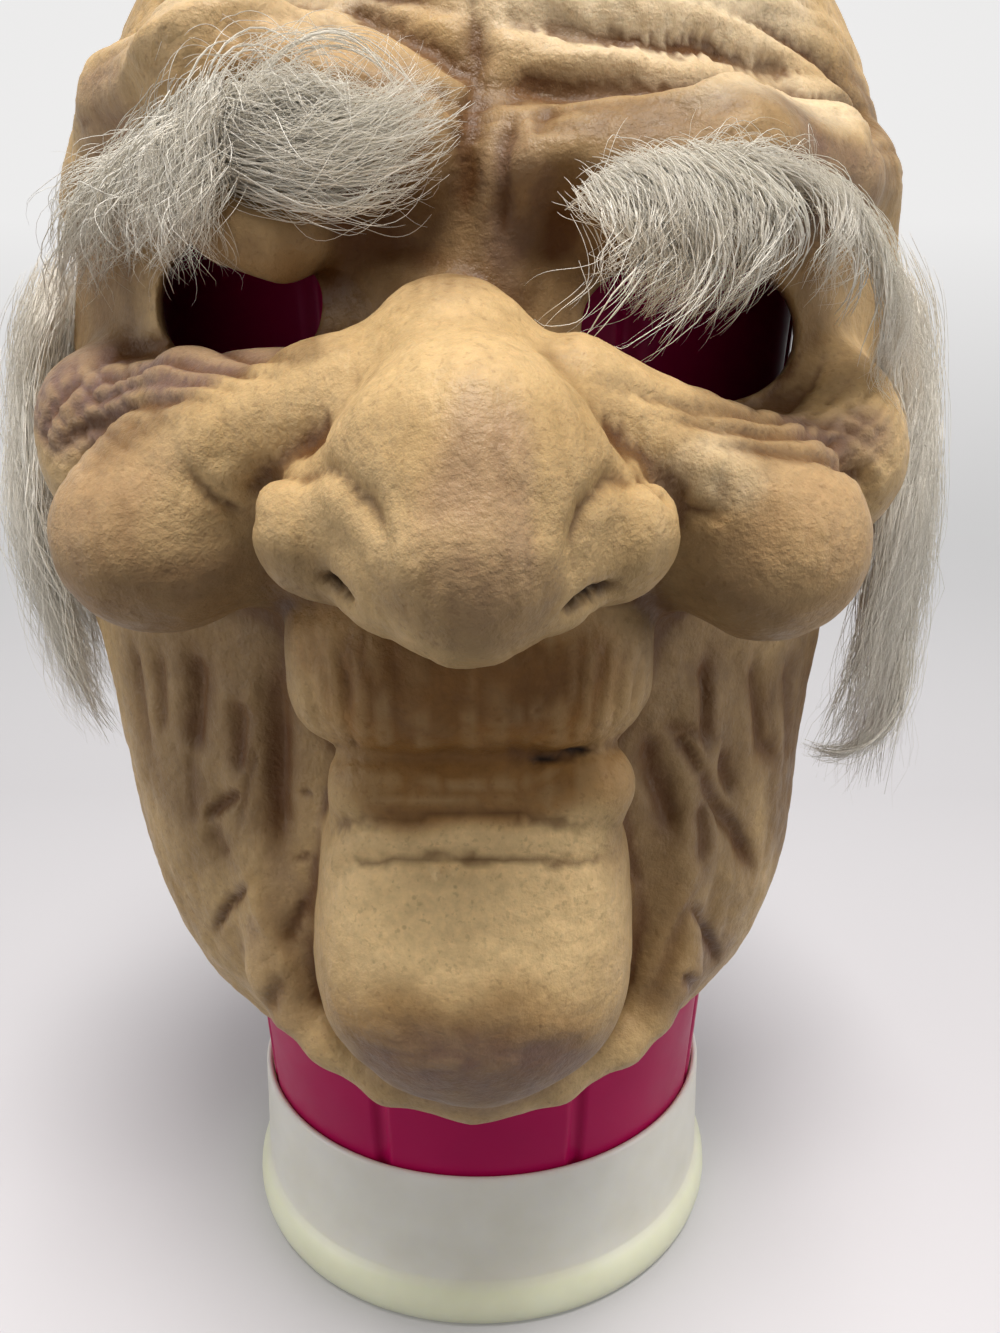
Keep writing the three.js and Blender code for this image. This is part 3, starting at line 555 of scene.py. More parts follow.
def trimmed(form, p, faces, reach):
    """The surface kept where trim is below zero, its border on the curve where trim is zero."""
    p = p.copy()
    value = trim(p)
    on = np.abs(value) < reach
    p[on] = onto_edge(form, p[on])
    side = np.where(on, 0, np.sign(value)).astype(int)
    inside = (side[faces] < 0).any(1)
    outside = (side[faces] > 0).any(1)
    crossings = {}
    ends = []
    extra = []
    for face in faces[inside & outside].tolist():
        ring = []
        for k in range(3):
            a, b = face[k], face[(k + 1) % 3]
            if side[a] <= 0:
                ring.append(a)
            if side[a] * side[b] < 0:
                key = (min(a, b), max(a, b))
                if key not in crossings:
                    crossings[key] = len(p) + len(ends)
                    ends.append(key)
                ring.append(crossings[key])
        extra += [[ring[0], ring[k], ring[k + 1]] for k in range(1, len(ring) - 1)]
    a, b = np.array(ends).T
    share = value[a] / (value[a] - value[b])
    p = np.concatenate([p, onto_edge(form, p[a] + (p[b] - p[a]) * share[:, None])])
    faces = np.concatenate([faces[inside & ~outside], np.array(extra, int)])
    used = np.unique(faces)
    name = np.zeros(len(p), int)
    name[used] = np.arange(len(used))
    return p[used], name[faces]


def loops(faces):
    """Borders of the surface as rings of points, in the faces' own direction."""
    edges = np.concatenate([faces[:, [0, 1]], faces[:, [1, 2]], faces[:, [2, 0]]])
    there = set(map(tuple, edges.tolist()))
    following = {a: b for a, b in sorted(there) if (b, a) not in there}
    rings = []
    while following:
        at = next(iter(following))
        ring = []
        while at in following:
            ring.append(at)
            at = following.pop(at)
        rings.append(ring)
    return rings


def strip(p, outer, inner):
    """Two rings that run side by side joined by a strip."""
    start = int(np.argmin(size(p[inner] - p[outer[0]])))
    inner = inner[start:] + inner[:start]
    faces = []
    i = j = 0
    while i < len(outer) or j < len(inner):
        a, b = outer[i % len(outer)], inner[j % len(inner)]
        next_a, next_b = outer[(i + 1) % len(outer)], inner[(j + 1) % len(inner)]
        nearer = size(p[next_a] - p[b]) < size(p[a] - p[next_b])
        if j == len(inner) or (i < len(outer) and nearer):
            faces.append([next_a, a, b])
            i += 1
        else:
            faces.append([b, next_b, a])
            j += 1
    return faces


def open_skin(form, cell):
    p, quads = net(form, cell)
    p = relax(form, p, quads, RELAX_ROUNDS)
    return trimmed(form, p, triangles(p, quads), cell * 0.3)


# Relief of the skin

# Rounds of smoothing that show the fine wrinkles and the broad folds as hollows
FINE_ROUNDS = 6
BROAD_ROUNDS = 60


def noise(p, seed):
    """Smooth noise from about -1 to 1 on a lattice of one unit."""
    cell = np.floor(p).astype(np.int64)
    f = p - cell
    weight = f * f * f * (f * (f * 6 - 15) + 10)
    total = np.zeros(len(p))
    for corner in product((0, 1), repeat=3):
        i = cell + corner
        mix = i[:, 0] * 73856093 ^ i[:, 1] * 19349663 ^ i[:, 2] * 83492791 ^ seed * 668265263
        mix = (mix ^ (mix >> 13)) * 1274126177 & 0xFFFFFFFF
        angle = (mix & 0xFFFF) * (2 * math.pi / 0xFFFF)
        lift = (mix >> 16) / 0x7FFF - 1
        flat = np.sqrt(np.maximum(1 - lift * lift, 0))
        way = np.stack([flat * np.cos(angle), flat * np.sin(angle), lift], -1)
        share = np.where(np.array(corner) == 1, weight, 1 - weight).prod(-1)
        total += share * ((f - corner) * way).sum(-1)
    return total * 1.6


def cracks(p, seed, sharp=0.12):
    """One along a network of lines, falling to zero between them."""
    return np.exp(-np.abs(noise(p, seed)) / sharp)


def ramp(v, low, high):
    t = np.clip((v - low) / (high - low), 0, 1)
    return t * t * (3 - 2 * t)


def near(p, centre, radii):
    """One in the middle of an egg and zero outside it."""
    return ramp(size((p - np.array(centre, float)) / np.array(radii, float)), 1.0, 0.55)


def on_skin(line, longest=3.0):
    """The line cut into short steps, each laid onto the skin."""
    line = np.array(line, float)
    parts = []
    for start, end in zip(line, line[1:]):
        count = int(np.ceil(size(end - start) / longest))
        parts.append(start + (end - start) * (np.arange(count) / count)[:, None])
    p = np.concatenate(parts + [line[-1:]])
    for _ in range(4):
        p = onto(head, p)
    return p


def crease(p, line, width):
    """One on a line laid onto the skin, falling off on both sides and towards its ends."""
    line = on_skin(line)
    reach = 4 * width
    close = np.nonzero(((p > line.min(0) - reach) & (p < line.max(0) + reach)).all(1))[0]
    q = p[close]
    nearest = np.full(len(q), reach)
    place = np.zeros(len(q))
    for k, (a, b) in enumerate(zip(line, line[1:])):
        h = np.clip((q - a) @ (b - a) / max((b - a) @ (b - a), 1e-6), 0, 1)
        distance = size(q - a - h[:, None] * (b - a))
        nearer = distance < nearest
        nearest[nearer] = distance[nearer]
        place[nearer] = (k + h[nearer]) / (len(line) - 1)
    ends = ramp(np.minimum(place, 1 - place), -0.12, 0.22)
    value = np.zeros(len(p))
    value[close] = np.exp(-(nearest / width) ** 1.4) * ends
    return value


def fold_relief(p):
    """Height of the creases and raised edges."""
    q = p + np.stack([noise(p / 9, 11), noise(p / 9, 12), noise(p / 9, 13)], -1) * 0.7
    deep = np.zeros(len(p))
    for depth, width, line in CREASES:
        deep += (depth * crease(q, line, width)) ** 3
    for strength, width, line in STROKES:
        deep += (STROKE_DEPTH * strength * crease(q, line, width)) ** 3
    for depth, width, line in SLITS:
        deep += (depth * crease(p, line, width)) ** 3
    high = np.zeros(len(p))
    for height, width, line in RIDGES:
        high = np.maximum(high, height * crease(p, line, width))
    return high - deep ** (1 / 3)


def wrinkle_relief(p):
    """Height of the fine wrinkles, each kind in its own part of the face."""
    x, y, z = p.T
    around = np.arctan2(x, -y) * 85
    front = ramp(y, 0, -40)
    height = noise(p / 12, 21) * 0.45 + noise(p / 5, 22) * 0.18

    forehead = ramp(z, 276, 286) * ramp(z, 350, 318) * front
    along = cracks(np.stack([around / 26, z / 5.5, y * 0], -1), 23, 0.2)
    across = cracks(np.stack([around / 4.5, z / 9, y * 0], -1), 24, 0.14)
    height -= forehead * (along * 0.7 + across * 0.22)

    for side, hole in zip((-1, 1), EYE_HOLES):
        dx, dz = (x - hole["centre"][0]) / 1.5, z - hole["centre"][1]
        ring = np.hypot(dx, dz) + noise(p / 13, 25) * 1.6
        bag = near(p, (side * 60, -80, 236), (32, 40, 16))
        height -= bag * np.exp(-np.abs(np.sin(math.pi * ring / 2.9)) / 0.4) * 0.75
        height -= bag * cracks(np.stack([ring / 7, np.arctan2(dz, dx) * 12, y * 0 + side], -1), 26) * 0.14

    jowl = ramp(z, 200, 186) * ramp(np.abs(x), 34, 44) * front
    down = cracks(np.stack([around / 10, z / 90, y * 0], -1), 27, 0.3)
    slant = np.stack([(np.abs(around) + z) / 8.5, (np.abs(around) - z) / 26, np.sign(x) * 3], -1)
    height -= jowl * (down * 0.45 + cracks(slant, 28, 0.16) * 0.25)

    lip = near(p, (0, -100, 190), (46, 26, 27)) * ramp(z, 212, 202)
    height -= lip * cracks(np.stack([x / 2.2, z / 34, y * 0], -1), 29, 0.22) * 0.45

    nose = ramp(y, -104, -112) * ramp(z, 196, 204)
    height -= nose * cracks(np.stack([x / 3.2, z / 18, y / 18], -1), 30, 0.25) * 0.3

    chin = near(p, (0, -104, 150), (36, 24, 50))
    height -= chin * cracks(p / np.array([11.0, 8.0, 5.0]), 31, 0.2) * 0.35
    return height


def cavity(p, normal, pairs, number, rounds):
    """How far each point lies below the surface smoothed over some rounds."""
    smooth = p
    for _ in range(rounds):
        smooth = neighbour_mean(smooth, pairs, number)
    return ((smooth - p) * normal).sum(-1)


# Meshes and materials

def mesh_object(name, points, groups, material):
    """A mesh object from points in millimetres; all faces of a group have as many corners."""
    groups = [np.asarray(faces, np.int32) for faces in groups]
    corners = np.concatenate([faces.ravel() for faces in groups])
    sides = np.concatenate([np.full(len(faces), faces.shape[1]) for faces in groups])
    data = bpy.data.meshes.new(name)
    data.vertices.add(len(points))
    data.vertices.foreach_set("co", (points * MM).astype(np.float32).ravel())
    data.loops.add(len(corners))
    data.loops.foreach_set("vertex_index", corners)
    data.polygons.add(len(sides))
    data.polygons.foreach_set("loop_start", (np.cumsum(sides) - sides).astype(np.int32))
    data.polygons.foreach_set("use_smooth", np.full(len(sides), True))
    data.update(calc_edges=True)
    data.validate()
    data.materials.append(material)
    piece = bpy.data.objects.new(name, data)
    bpy.context.scene.collection.objects.link(piece)
    return piece


def float_attribute(piece, name, values):
    layer = piece.data.attributes.new(name, "FLOAT", "POINT")
    layer.data.foreach_set("value", np.asarray(values, np.float32))


class Nodes:
    """Short calls to build the node tree of a material."""

    def __init__(self, name):
        self.material = bpy.data.materials.new(name)
        self.material.use_nodes = True
        self.tree = self.material.node_tree
        self.shader = self.tree.nodes["Principled BSDF"]

    def node(self, kind, **values):
        node = self.tree.nodes.new(kind)
        for key, value in values.items():
            setattr(node, key, value)
        return node

    def link(self, start, end):
        self.tree.links.new(start, end)

    def feed(self, socket, value):
        if isinstance(value, bpy.types.NodeSocket):
            self.link(value, socket)
        else:
            socket.default_value = value

    def place(self):
        return self.node("ShaderNodeTexCoord").outputs["Object"]

    def attribute(self, name):
        return self.node("ShaderNodeAttribute", attribute_name=name).outputs["Fac"]

    def put(self, name, value):
        self.feed(self.shader.inputs[name], value)

    def glow(self, weight, radius, reach_mm):
        """Light that goes into the material and comes out beside."""
        self.put("Subsurface Weight", weight)
        self.put("Subsurface Radius", radius)
        self.put("Subsurface Scale", reach_mm * MM)

    def noise(self, scale, detail, rough=0.5):
        node = self.node("ShaderNodeTexNoise")
        node.inputs["Scale"].default_value = scale
        node.inputs["Detail"].default_value = detail
        node.inputs["Roughness"].default_value = rough
        self.link(self.place(), node.inputs["Vector"])
        return node.outputs["Fac"]

    def cells(self, scale, stretch=(1, 1, 1), feature="F1"):
        mapping = self.node("ShaderNodeMapping")
        mapping.inputs["Scale"].default_value = stretch
        self.link(self.place(), mapping.inputs["Vector"])
        node = self.node("ShaderNodeTexVoronoi", feature=feature)
        node.inputs["Scale"].default_value = scale
        self.link(mapping.outputs["Vector"], node.inputs["Vector"])
        return node.outputs["Distance"]

    def ramp(self, value, low, high, out_low=0.0, out_high=1.0):
        node = self.node("ShaderNodeMapRange", clamp=True)
        for key, number in (("From Min", low), ("From Max", high), ("To Min", out_low), ("To Max", out_high)):
            node.inputs[key].default_value = number
        self.feed(node.inputs["Value"], value)
        return node.outputs["Result"]

    def grey(self, value):
        node = self.node("ShaderNodeCombineColor")
        for socket in node.inputs:
            self.link(value, socket)
        return node.outputs["Color"]

    def math(self, operation, a, b=0.0):
        node = self.node("ShaderNodeMath", operation=operation)
        self.feed(node.inputs[0], a)
        self.feed(node.inputs[1], b)
        return node.outputs["Value"]

    def mix(self, share, a, b, blend="MIX"):
        node = self.node("ShaderNodeMix", data_type="RGBA", blend_type=blend)
        self.feed(node.inputs[0], share)
        self.feed(node.inputs[6], a)
        self.feed(node.inputs[7], b)
        return node.outputs[2]

    def bump(self, height, depth_mm, strength=1.0, below=None):
        node = self.node("ShaderNodeBump")
        node.inputs["Strength"].default_value = strength
        node.inputs["Distance"].default_value = depth_mm * MM
        self.link(height, node.inputs["Height"])
        if below is not None:
            self.link(below, node.inputs["Normal"])
        return node.outputs["Normal"]


def colour(r, g, b):
    return (r, g, b, 1.0)


# Colours of the finishes and of the painted light and shade, linear
LATEX = colour(0.44, 0.285, 0.125)
LATEX_PALE = colour(0.62, 0.425, 0.21)
# Brown of the painted shade in the hollows and of the wash, the pits and the specks
WASH_AND_SHADE_BROWN = colour(0.12, 0.05, 0.014)
BLUSH = colour(0.37, 0.215, 0.12)
# Dark brown of the painted shade
PAINTED_SHADE = colour(0.10, 0.043, 0.013)
AMBER = colour(0.29, 0.12, 0.018)
# Golden colour of the painted light
PAINTED_LIGHT_GOLD = colour(0.86, 0.61, 0.31)
# Near black of the painted shadow in the slits
SLIT_SHADOW_DARK = colour(0.015, 0.006, 0.003)
# Colour of the painted highlight
PALE_HIGHLIGHT = colour(0.78, 0.64, 0.44)
# Latex brown of the lining, darker than raw latex as painted shade inside the mask
LINING = colour(0.20, 0.12, 0.06)
BRUISE = colour(0.17, 0.10, 0.09)
MAGENTA = colour(0.50, 0.004, 0.10)
MAGENTA_DARK = colour(0.44, 0.003, 0.088)
CUP_WHITE = colour(0.96, 0.92, 0.82)
CUP_STAIN = colour(0.60, 0.56, 0.42)
BEAD_GREEN = colour(0.96, 0.97, 0.72)
WHITE_HAIR = (colour(0.86, 0.80, 0.69), colour(1.0, 0.96, 0.87))
GREY_HAIR = (colour(0.74, 0.69, 0.60), colour(1.0, 0.95, 0.86))
FLOOR_WHITE = colour(0.62, 0.61, 0.64)
FLOOR_GLOW = colour(1.0, 1.0, 0.99)
ROOM_WHITE = colour(1.0, 0.99, 0.97)

# Darkest the brown wash and the painted shade in the hollows get
DARKEST_WASH_AND_SHADE = 0.94


def latex_material():
    n = Nodes("latex")
    blotches = n.noise(34, 4, 0.6)
    base = n.mix(n.ramp(blotches, 0.35, 0.68), LATEX, LATEX_PALE)
    base = n.mix(n.math("MULTIPLY", n.attribute("blush"), 0.6), base, BLUSH)
    # Painted highlight: paler patches on the forehead's top, the edge of the brow shelf and beside the nose
    base = n.mix(n.attribute("pale"), base, PALE_HIGHLIGHT)
    # Painted light: golden patches on the chin's front, beside the left side of the nose and on the nose
    base = n.mix(n.attribute("painted_light"), base, PAINTED_LIGHT_GOLD)
    base = n.mix(n.attribute("amber"), base, AMBER)
    # Painted shade where shadow falls, unevenly strong
    uneven_shade = n.ramp(n.noise(60, 4, 0.6), 0.3, 0.7, 0.7, 1.1)
    base = n.mix(n.math("MULTIPLY", n.attribute("painted_shade"), uneven_shade), base, PAINTED_SHADE)
    mottle = n.ramp(n.noise(120, 3), 0.3, 0.7, 0.6, 1.0)
    base = n.mix(n.math("MULTIPLY", n.attribute("bruise"), mottle), base, BRUISE)
    grain = n.ramp(n.noise(420, 3, 0.7), 0.32, 0.68, 0.86, 1.08)
    base = n.mix(1.0, base, n.grey(grain), "MULTIPLY")
    # Painted highlight: the raised parts of the skin made paler
    base = n.mix(n.math("MULTIPLY", n.attribute("raised"), 0.3), base, LATEX_PALE)
    pits = n.ramp(n.noise(820, 2), 0.60, 0.70, 0, 0.22)
    # Painted shade in the wrinkles and folds, with the brown wash of the jowls' grooves and small brown pits
    wash = n.math("MULTIPLY", n.attribute("wash"), n.ramp(n.noise(90, 3), 0.3, 0.7, 0.8, 1.1))
    base = n.mix(n.math("MAXIMUM", wash, pits), base, WASH_AND_SHADE_BROWN)
    specks = n.ramp(n.cells(260), 0.14, 0.07)
    few = n.ramp(n.noise(55, 1), 0.64, 0.72)
    base = n.mix(n.math("MULTIPLY", n.math("MULTIPLY", specks, few), 0.6), base, WASH_AND_SHADE_BROWN)
    # Painted shadow: near black in the nostrils and the mouth's opening
    base = n.mix(n.attribute("gap"), base, SLIT_SHADOW_DARK)
    # Lining: its own latex brown, darkened as painted shade inside the mask
    base = n.mix(n.attribute("inside"), base, LINING)
    n.put("Base Color", base)
    n.put("Roughness", n.ramp(n.noise(200, 4, 0.6), 0.3, 0.7, 0.38, 0.58))
    n.put("Specular IOR Level", 0.22)
    n.glow(0.06, (1.0, 0.45, 0.2), 2)
    folds = n.bump(n.cells(210, (1, 1, 0.6), "DISTANCE_TO_EDGE"), 0.5, 0.35)
    pores = n.bump(n.noise(900, 3, 0.6), 0.35, 0.6, folds)
    n.put("Normal", n.bump(n.noise(300, 4, 0.65), 0.9, 0.6, pores))
    return n.material


def hair_material(name, dark, light):
    n = Nodes(name)
    chance = n.node("ShaderNodeNewGeometry").outputs["Random Per Island"]
    n.put("Base Color", n.mix(chance, dark, light))
    n.put("Roughness", 0.5)
    n.put("Specular IOR Level", 0.45)
    n.put("Sheen Weight", 0.4)
    return n.material


def tub_material():
    n = Nodes("tub plastic")
    n.put("Base Color", n.mix(n.ramp(n.noise(30, 3), 0.3, 0.7), MAGENTA, MAGENTA_DARK))
    n.put("Roughness", n.ramp(n.noise(90, 4), 0.3, 0.7, 0.30, 0.42))
    n.put("Normal", n.bump(n.noise(420, 2), 0.03, 0.4))
    n.put("Specular IOR Level", 0.12)
    n.glow(0.15, (1.0, 0.15, 0.3), 4)
    return n.material


def cup_material():
    n = Nodes("cup plastic")
    bead_end, wall_start = 0.0105, 0.0135
    height = n.node("ShaderNodeSeparateXYZ")
    n.link(n.place(), height.inputs["Vector"])
    base = n.mix(n.ramp(height.outputs["Z"], bead_end, wall_start), BEAD_GREEN, CUP_WHITE)
    n.put("Base Color", n.mix(n.ramp(n.noise(50, 3), 0.35, 0.7, 0, 0.25), base, CUP_STAIN))
    n.put("Roughness", n.ramp(n.noise(120, 4), 0.3, 0.7, 0.28, 0.40))
    n.put("Normal", n.bump(n.noise(500, 2), 0.02, 0.4))
    n.glow(0.35, (1.0, 0.9, 0.6), 6)
    return n.material


def floor_material():
    """Pale, and lit up by itself the more the farther back and the higher it is."""
    n = Nodes("floor")
    n.put("Base Color", FLOOR_WHITE)
    n.put("Roughness", 0.6)
    n.put("Emission Color", FLOOR_GLOW)
    place = n.node("ShaderNodeSeparateXYZ")
    n.link(n.place(), place.inputs["Vector"])
    y, z = place.outputs["Y"], place.outputs["Z"]
    far = n.ramp(n.math("DIVIDE", y, n.math("ADD", n.math("ABSOLUTE", y), 1.0)), 0.25, 0.8, 0.04, 0.42)
    n.put("Emission Strength", n.math("ADD", far, n.ramp(z, 0.0, 1.0, 0.0, 0.26)))
    return n.material


# The mask

# Painted patches: each kind has eggs of a centre, radii and a strength. The dark brown kind is painted shade,
# and the pale and golden kinds are painted light.
PATCHES = dict(
    blush=[
        ((-57, -98, 214), (27, 30, 26), 0.8), ((56, -98, 213), (27, 30, 26), 0.6),
        ((0, -95, 290), (70, 40, 26), 0.25), ((3, -140, 222), (9, 30, 26), 0.5),
    ],
    bruise=[
        ((-70, -78, 240), (20, 28, 14), 0.95), ((-45, -88, 246), (26, 24, 9), 0.85),
        ((64, -82, 234), (20, 24, 8), 0.6), ((0, -108, 114), (36, 44, 22), 0.7),
        ((4, -136, 226), (8, 30, 20), 0.4), ((-66, -76, 288), (16, 20, 14), 0.6),
        ((62, -80, 276), (34, 22, 9), 0.55), ((8, -92, 270), (8, 16, 16), 0.5),
        ((52, -70, 112), (18, 28, 18), 0.45), ((-40, -76, 130), (9, 20, 30), 0.3),
    ],
    # Painted highlight on the forehead's top, the edge of the brow shelf and beside the nose
    pale=[
        ((32, -78, 314), (48, 50, 30), 0.75), ((50, -80, 290), (34, 40, 9), 0.6),
        ((-37, -86, 308), (36, 45, 18), 0.4), ((38, -112, 227), (12, 20, 7), 0.35),
    ],
    # Painted light on the chin's front, beside the left side of the nose and on the nose
    painted_light=[
        ((0, -108, 153), (36, 30, 24), 0.95), ((-38, -104, 222), (14, 20, 9), 0.4),
        ((0, -128, 240), (14, 20, 10), 0.3),
    ],
    amber=[
        ((0, -104, 190), (34, 26, 24), 0.85), ((2, -98, 173), (34, 24, 10), 0.75),
        ((-26, -100, 204), (12, 24, 16), 0.5), ((0, -111, 128), (34, 45, 16), 0.35),
    ],
    # Painted shade: dark brown where shadow falls under the forehead and the brows, round the eye holes,
    # under the nose, the lip and the chin, and on the jowls
    painted_shade=[
        ((-2, -90, 271), (60, 44, 26), 0.72), ((-6, -88, 264), (36, 44, 18), 0.9),
        ((44, -90, 275), (40, 44, 17), 0.75), ((1, -91, 286), (9, 30, 16), 0.65),
        ((76, -52, 290), (14, 40, 20), 0.7), ((-74, -56, 256), (18, 40, 34), 0.7),
        ((-40, -88, 266), (24, 30, 16), 0.5), ((-34, -84, 316), (50, 40, 18), 0.5),
        ((30, -80, 322), (50, 40, 10), 0.4), ((-30, -100, 247), (20, 30, 6), 0.7),
        ((56, -96, 235), (36, 30, 10), 0.8), ((-62, -86, 241), (34, 45, 16), 0.72),
        ((-57, -98, 212), (30, 34, 22), 0.28), ((0, -105, 194), (30, 22, 16), 0.7),
        ((-2, -98, 174), (28, 24, 8), 0.4), ((3, -145, 212), (18, 30, 10), 0.55),
        ((0, -111, 120), (36, 45, 18), 0.6), ((-26, -124, 212), (14, 24, 9), 0.4),
        ((46, -79, 168), (34, 40, 44), 0.58), ((74, -45, 168), (16, 40, 46), 0.75),
        ((-58, -70, 174), (40, 40, 40), 0.5), ((-42, -78, 188), (18, 40, 26), 0.5),
        ((-55, -98, 207), (32, 40, 18), 0.4), ((40, -94, 198), (22, 40, 15), 0.5),
        ((50, -72, 128), (24, 40, 30), 0.42),
    ],
)


def brown_wash(p, fine, broad):
    """Strength of the brown in the wrinkles, the folds and the grooves of the jowls: painted shade that grows
    with the depth of the hollows, and the brown wash of the jowls' grooves.
    """
    wash = ramp(fine, 0.08, 0.6) * 0.7 + ramp(broad, 0.35, 2.4) * 0.6
    wash *= 1 - 0.7 * near(p, (-8, -98, 176), (24, 20, 6))
    for strength, width, line in STROKES:
        stroke = 1.4 * strength * crease(p, line, width * 1.1) ** 0.8
        wash = np.maximum(wash, np.minimum(stroke, DARKEST_WASH_AND_SHADE))
    return np.clip(wash, 0, DARKEST_WASH_AND_SHADE)


def slit_shadow(p):
    """One in the nostrils and in the opening of the mouth, which are painted near black as their shadow."""
    gap = np.zeros(len(p))
    for _, width, line in SLITS:
        gap = np.maximum(gap, ramp(crease(p, line, width), 0.2, 0.6))
    return gap


def patches(p):
    """Strength of each kind of painted patch, with wavering edges."""
    wavering = p + noise(p / 14, 41)[:, None] * 4
    looks = {}
    for name, spots in PATCHES.items():
        looks[name] = np.zeros(len(p))
        for centre, radii, strength in spots:
            looks[name] = np.maximum(looks[name], strength * near(wavering, centre, radii))
    return looks


def edge_strips(points, faces, inner_faces):
    """Strips between the borders of the skin and those of its lining."""
    rings = [ring[::-1] for ring in loops(inner_faces)]
    strips = []
    for outer in loops(faces):
        middle = points[outer].mean(0)
        match = min(rings, key=lambda ring: size(points[ring].mean(0) - middle))
        strips += strip(points, outer, match)
    return strips


def mask_skin(material):
    p, faces = open_skin(head, SKIN_CELL)
    normal = unit(slope(head, p)[1])
    shown = p + normal * (fold_relief(p) + wrinkle_relief(p))[:, None]
    inner, inner_faces = open_skin(lining, LINING_CELL)
    inner = inner + unit(slope(head, inner)[1]) * np.minimum(fold_relief(inner), 0)[:, None]
    inner_faces = inner_faces[:, ::-1] + len(p)
    points = np.concatenate([shown, inner])
    strips = edge_strips(points, faces, inner_faces)
    piece = mesh_object("latex_mask", points + FACE_SHIFT, [faces, inner_faces, strips], material)

    pairs = edge_pairs(faces)
    number = np.bincount(pairs[:, 0], minlength=len(p))
    fine = cavity(shown, normal, pairs, number, FINE_ROUNDS)
    broad = cavity(shown, normal, pairs, number, BROAD_ROUNDS)
    looks = patches(p)
    # Gap is painted shadow in the nostrils and the mouth
    # Raised is a painted highlight on the ridges of the skin
    # The wash is painted shade in the hollows together with the brown wash of the jowls
    looks.update(wash=brown_wash(p, fine, broad), raised=ramp(-fine, 0.05, 0.45), gap=slit_shadow(p))
    for name, values in looks.items():
        float_attribute(piece, name, np.concatenate([values, np.zeros(len(inner))]))
    float_attribute(piece, "inside", np.repeat([0.0, 1.0], [len(p), len(inner)]))
    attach(piece, "root")
    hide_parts("mask_face")
    return piece


# Hair

def bend(rows, share):
    """Points of smooth curves at shares of their way; rows holds the guide points that pull each curve."""
    degree = rows.shape[1] - 1
    total = 0
    for k in range(degree + 1):
        pull = math.comb(degree, k) * share ** k * (1 - share) ** (degree - k)
        total = total + pull[..., None] * rows[:, k][:, None]
    return total


def ball(rng, count):
    """Random points in a ball of radius one."""
    return unit(rng.normal(size=(count, 3))) * rng.uniform(0, 1, (count, 1)) ** (1 / 3)


def across(rows, along, share):
    """Curves between the rows: along counts the rows, share is the place on each curve."""
    along = np.clip(np.abs(along), 0, len(rows) - 1.001)
    low = along.astype(int)
    part = (along - low)[:, None, None]
    return bend(rows[low] * (1 - part) + rows[low + 1] * part, share)


def arcs(size_of_arc, turns, phase, share):
    """Sideways offsets along two directions that make a strand wave."""
    angle = phase[:, None] + 2 * math.pi * turns[:, None] * share
    swing = size_of_arc[:, None] * (0.3 + 0.7 * share)
    return np.sin(angle) * swing, np.cos(angle * 0.83) * swing


def strands(sheet, layer, count, rng):
    """Centre lines of the strands of one sheet: each clump waves as one, each strand has its own arcs too."""
    rows = np.array(sheet["rows"], float)
    clumps = sheet["clumps"]
    clump = rng.integers(0, clumps, count)
    middle = rng.uniform(0, len(rows) - 1, clumps)[clump]
    own = middle + rng.normal(0, sheet["loose"], count)
    start = np.maximum(rng.uniform(-0.3, 0.5, count), rng.uniform(-0.03, 0.09, count))
    run = np.minimum(rng.uniform(0.45, 0.95, count), rng.uniform(0.98, 1.12, count) - start)
    steps = np.linspace(0, 1, layer["points"])
    share = start[:, None] + run[:, None] * steps
    line = across(rows, own, share)
    drawn = (sheet["gather"] * np.clip(share, 0, 1))[..., None]
    spread = sheet["spread"] * layer["inside"] * 0.6
    line += (across(rows, middle, share) - line) * drawn
    line += (ball(rng, clumps) * spread)[clump][:, None] + (ball(rng, count) * spread)[:, None] * (1 - drawn)
    way = unit(np.gradient(line, axis=1))
    side = unit(np.cross(way, [0.1, 1.0, 0.2]))
    lift = np.cross(side, way)
    stray = rng.uniform(0, 1, count) < layer["stray"]
    wave = sheet["wave"] * rng.uniform(0.5, 1.0, clumps)[clump] * layer["inside"]
    fuzz = sheet["fuzz"] * rng.uniform(0.3, 1.0, count) * np.where(stray, 2.5, 1) * layer["inside"]
    turns = sheet["turns"] * rng.uniform(0.8, 1.2, clumps)[clump]
    phase = rng.uniform(0, 2 * math.pi, clumps)[clump] + rng.normal(0, 0.25, count)
    waves = ((wave, turns, phase), (fuzz, turns * 0.8, 7 * phase), (fuzz * 0.4, turns * 1.5, 31 * phase))
    for swing, rate, shift in waves:
        rate = rate * rng.uniform(0.8, 1.25, count)
        shift = shift + rng.normal(0, 0.2, count)
        sideways, upwards = arcs(swing, rate, shift, share)
        line += side * sideways[..., None] + lift * upwards[..., None]
    away = np.where(stray, rng.uniform(0, 5, count), rng.uniform(0, 0.8, count))
    return line + lift * (away[:, None] * steps)[..., None]


def clear_of_skin(lines):
    """Points of the strands pushed out of the skin."""
    gap = 0.4
    p = lines.reshape(-1, 3)
    for _ in range(3):
        value, gradient = slope(head, p, 0.5)
        p = p + unit(gradient) * np.maximum(gap - value, 0)[:, None]
    return p.reshape(lines.shape)


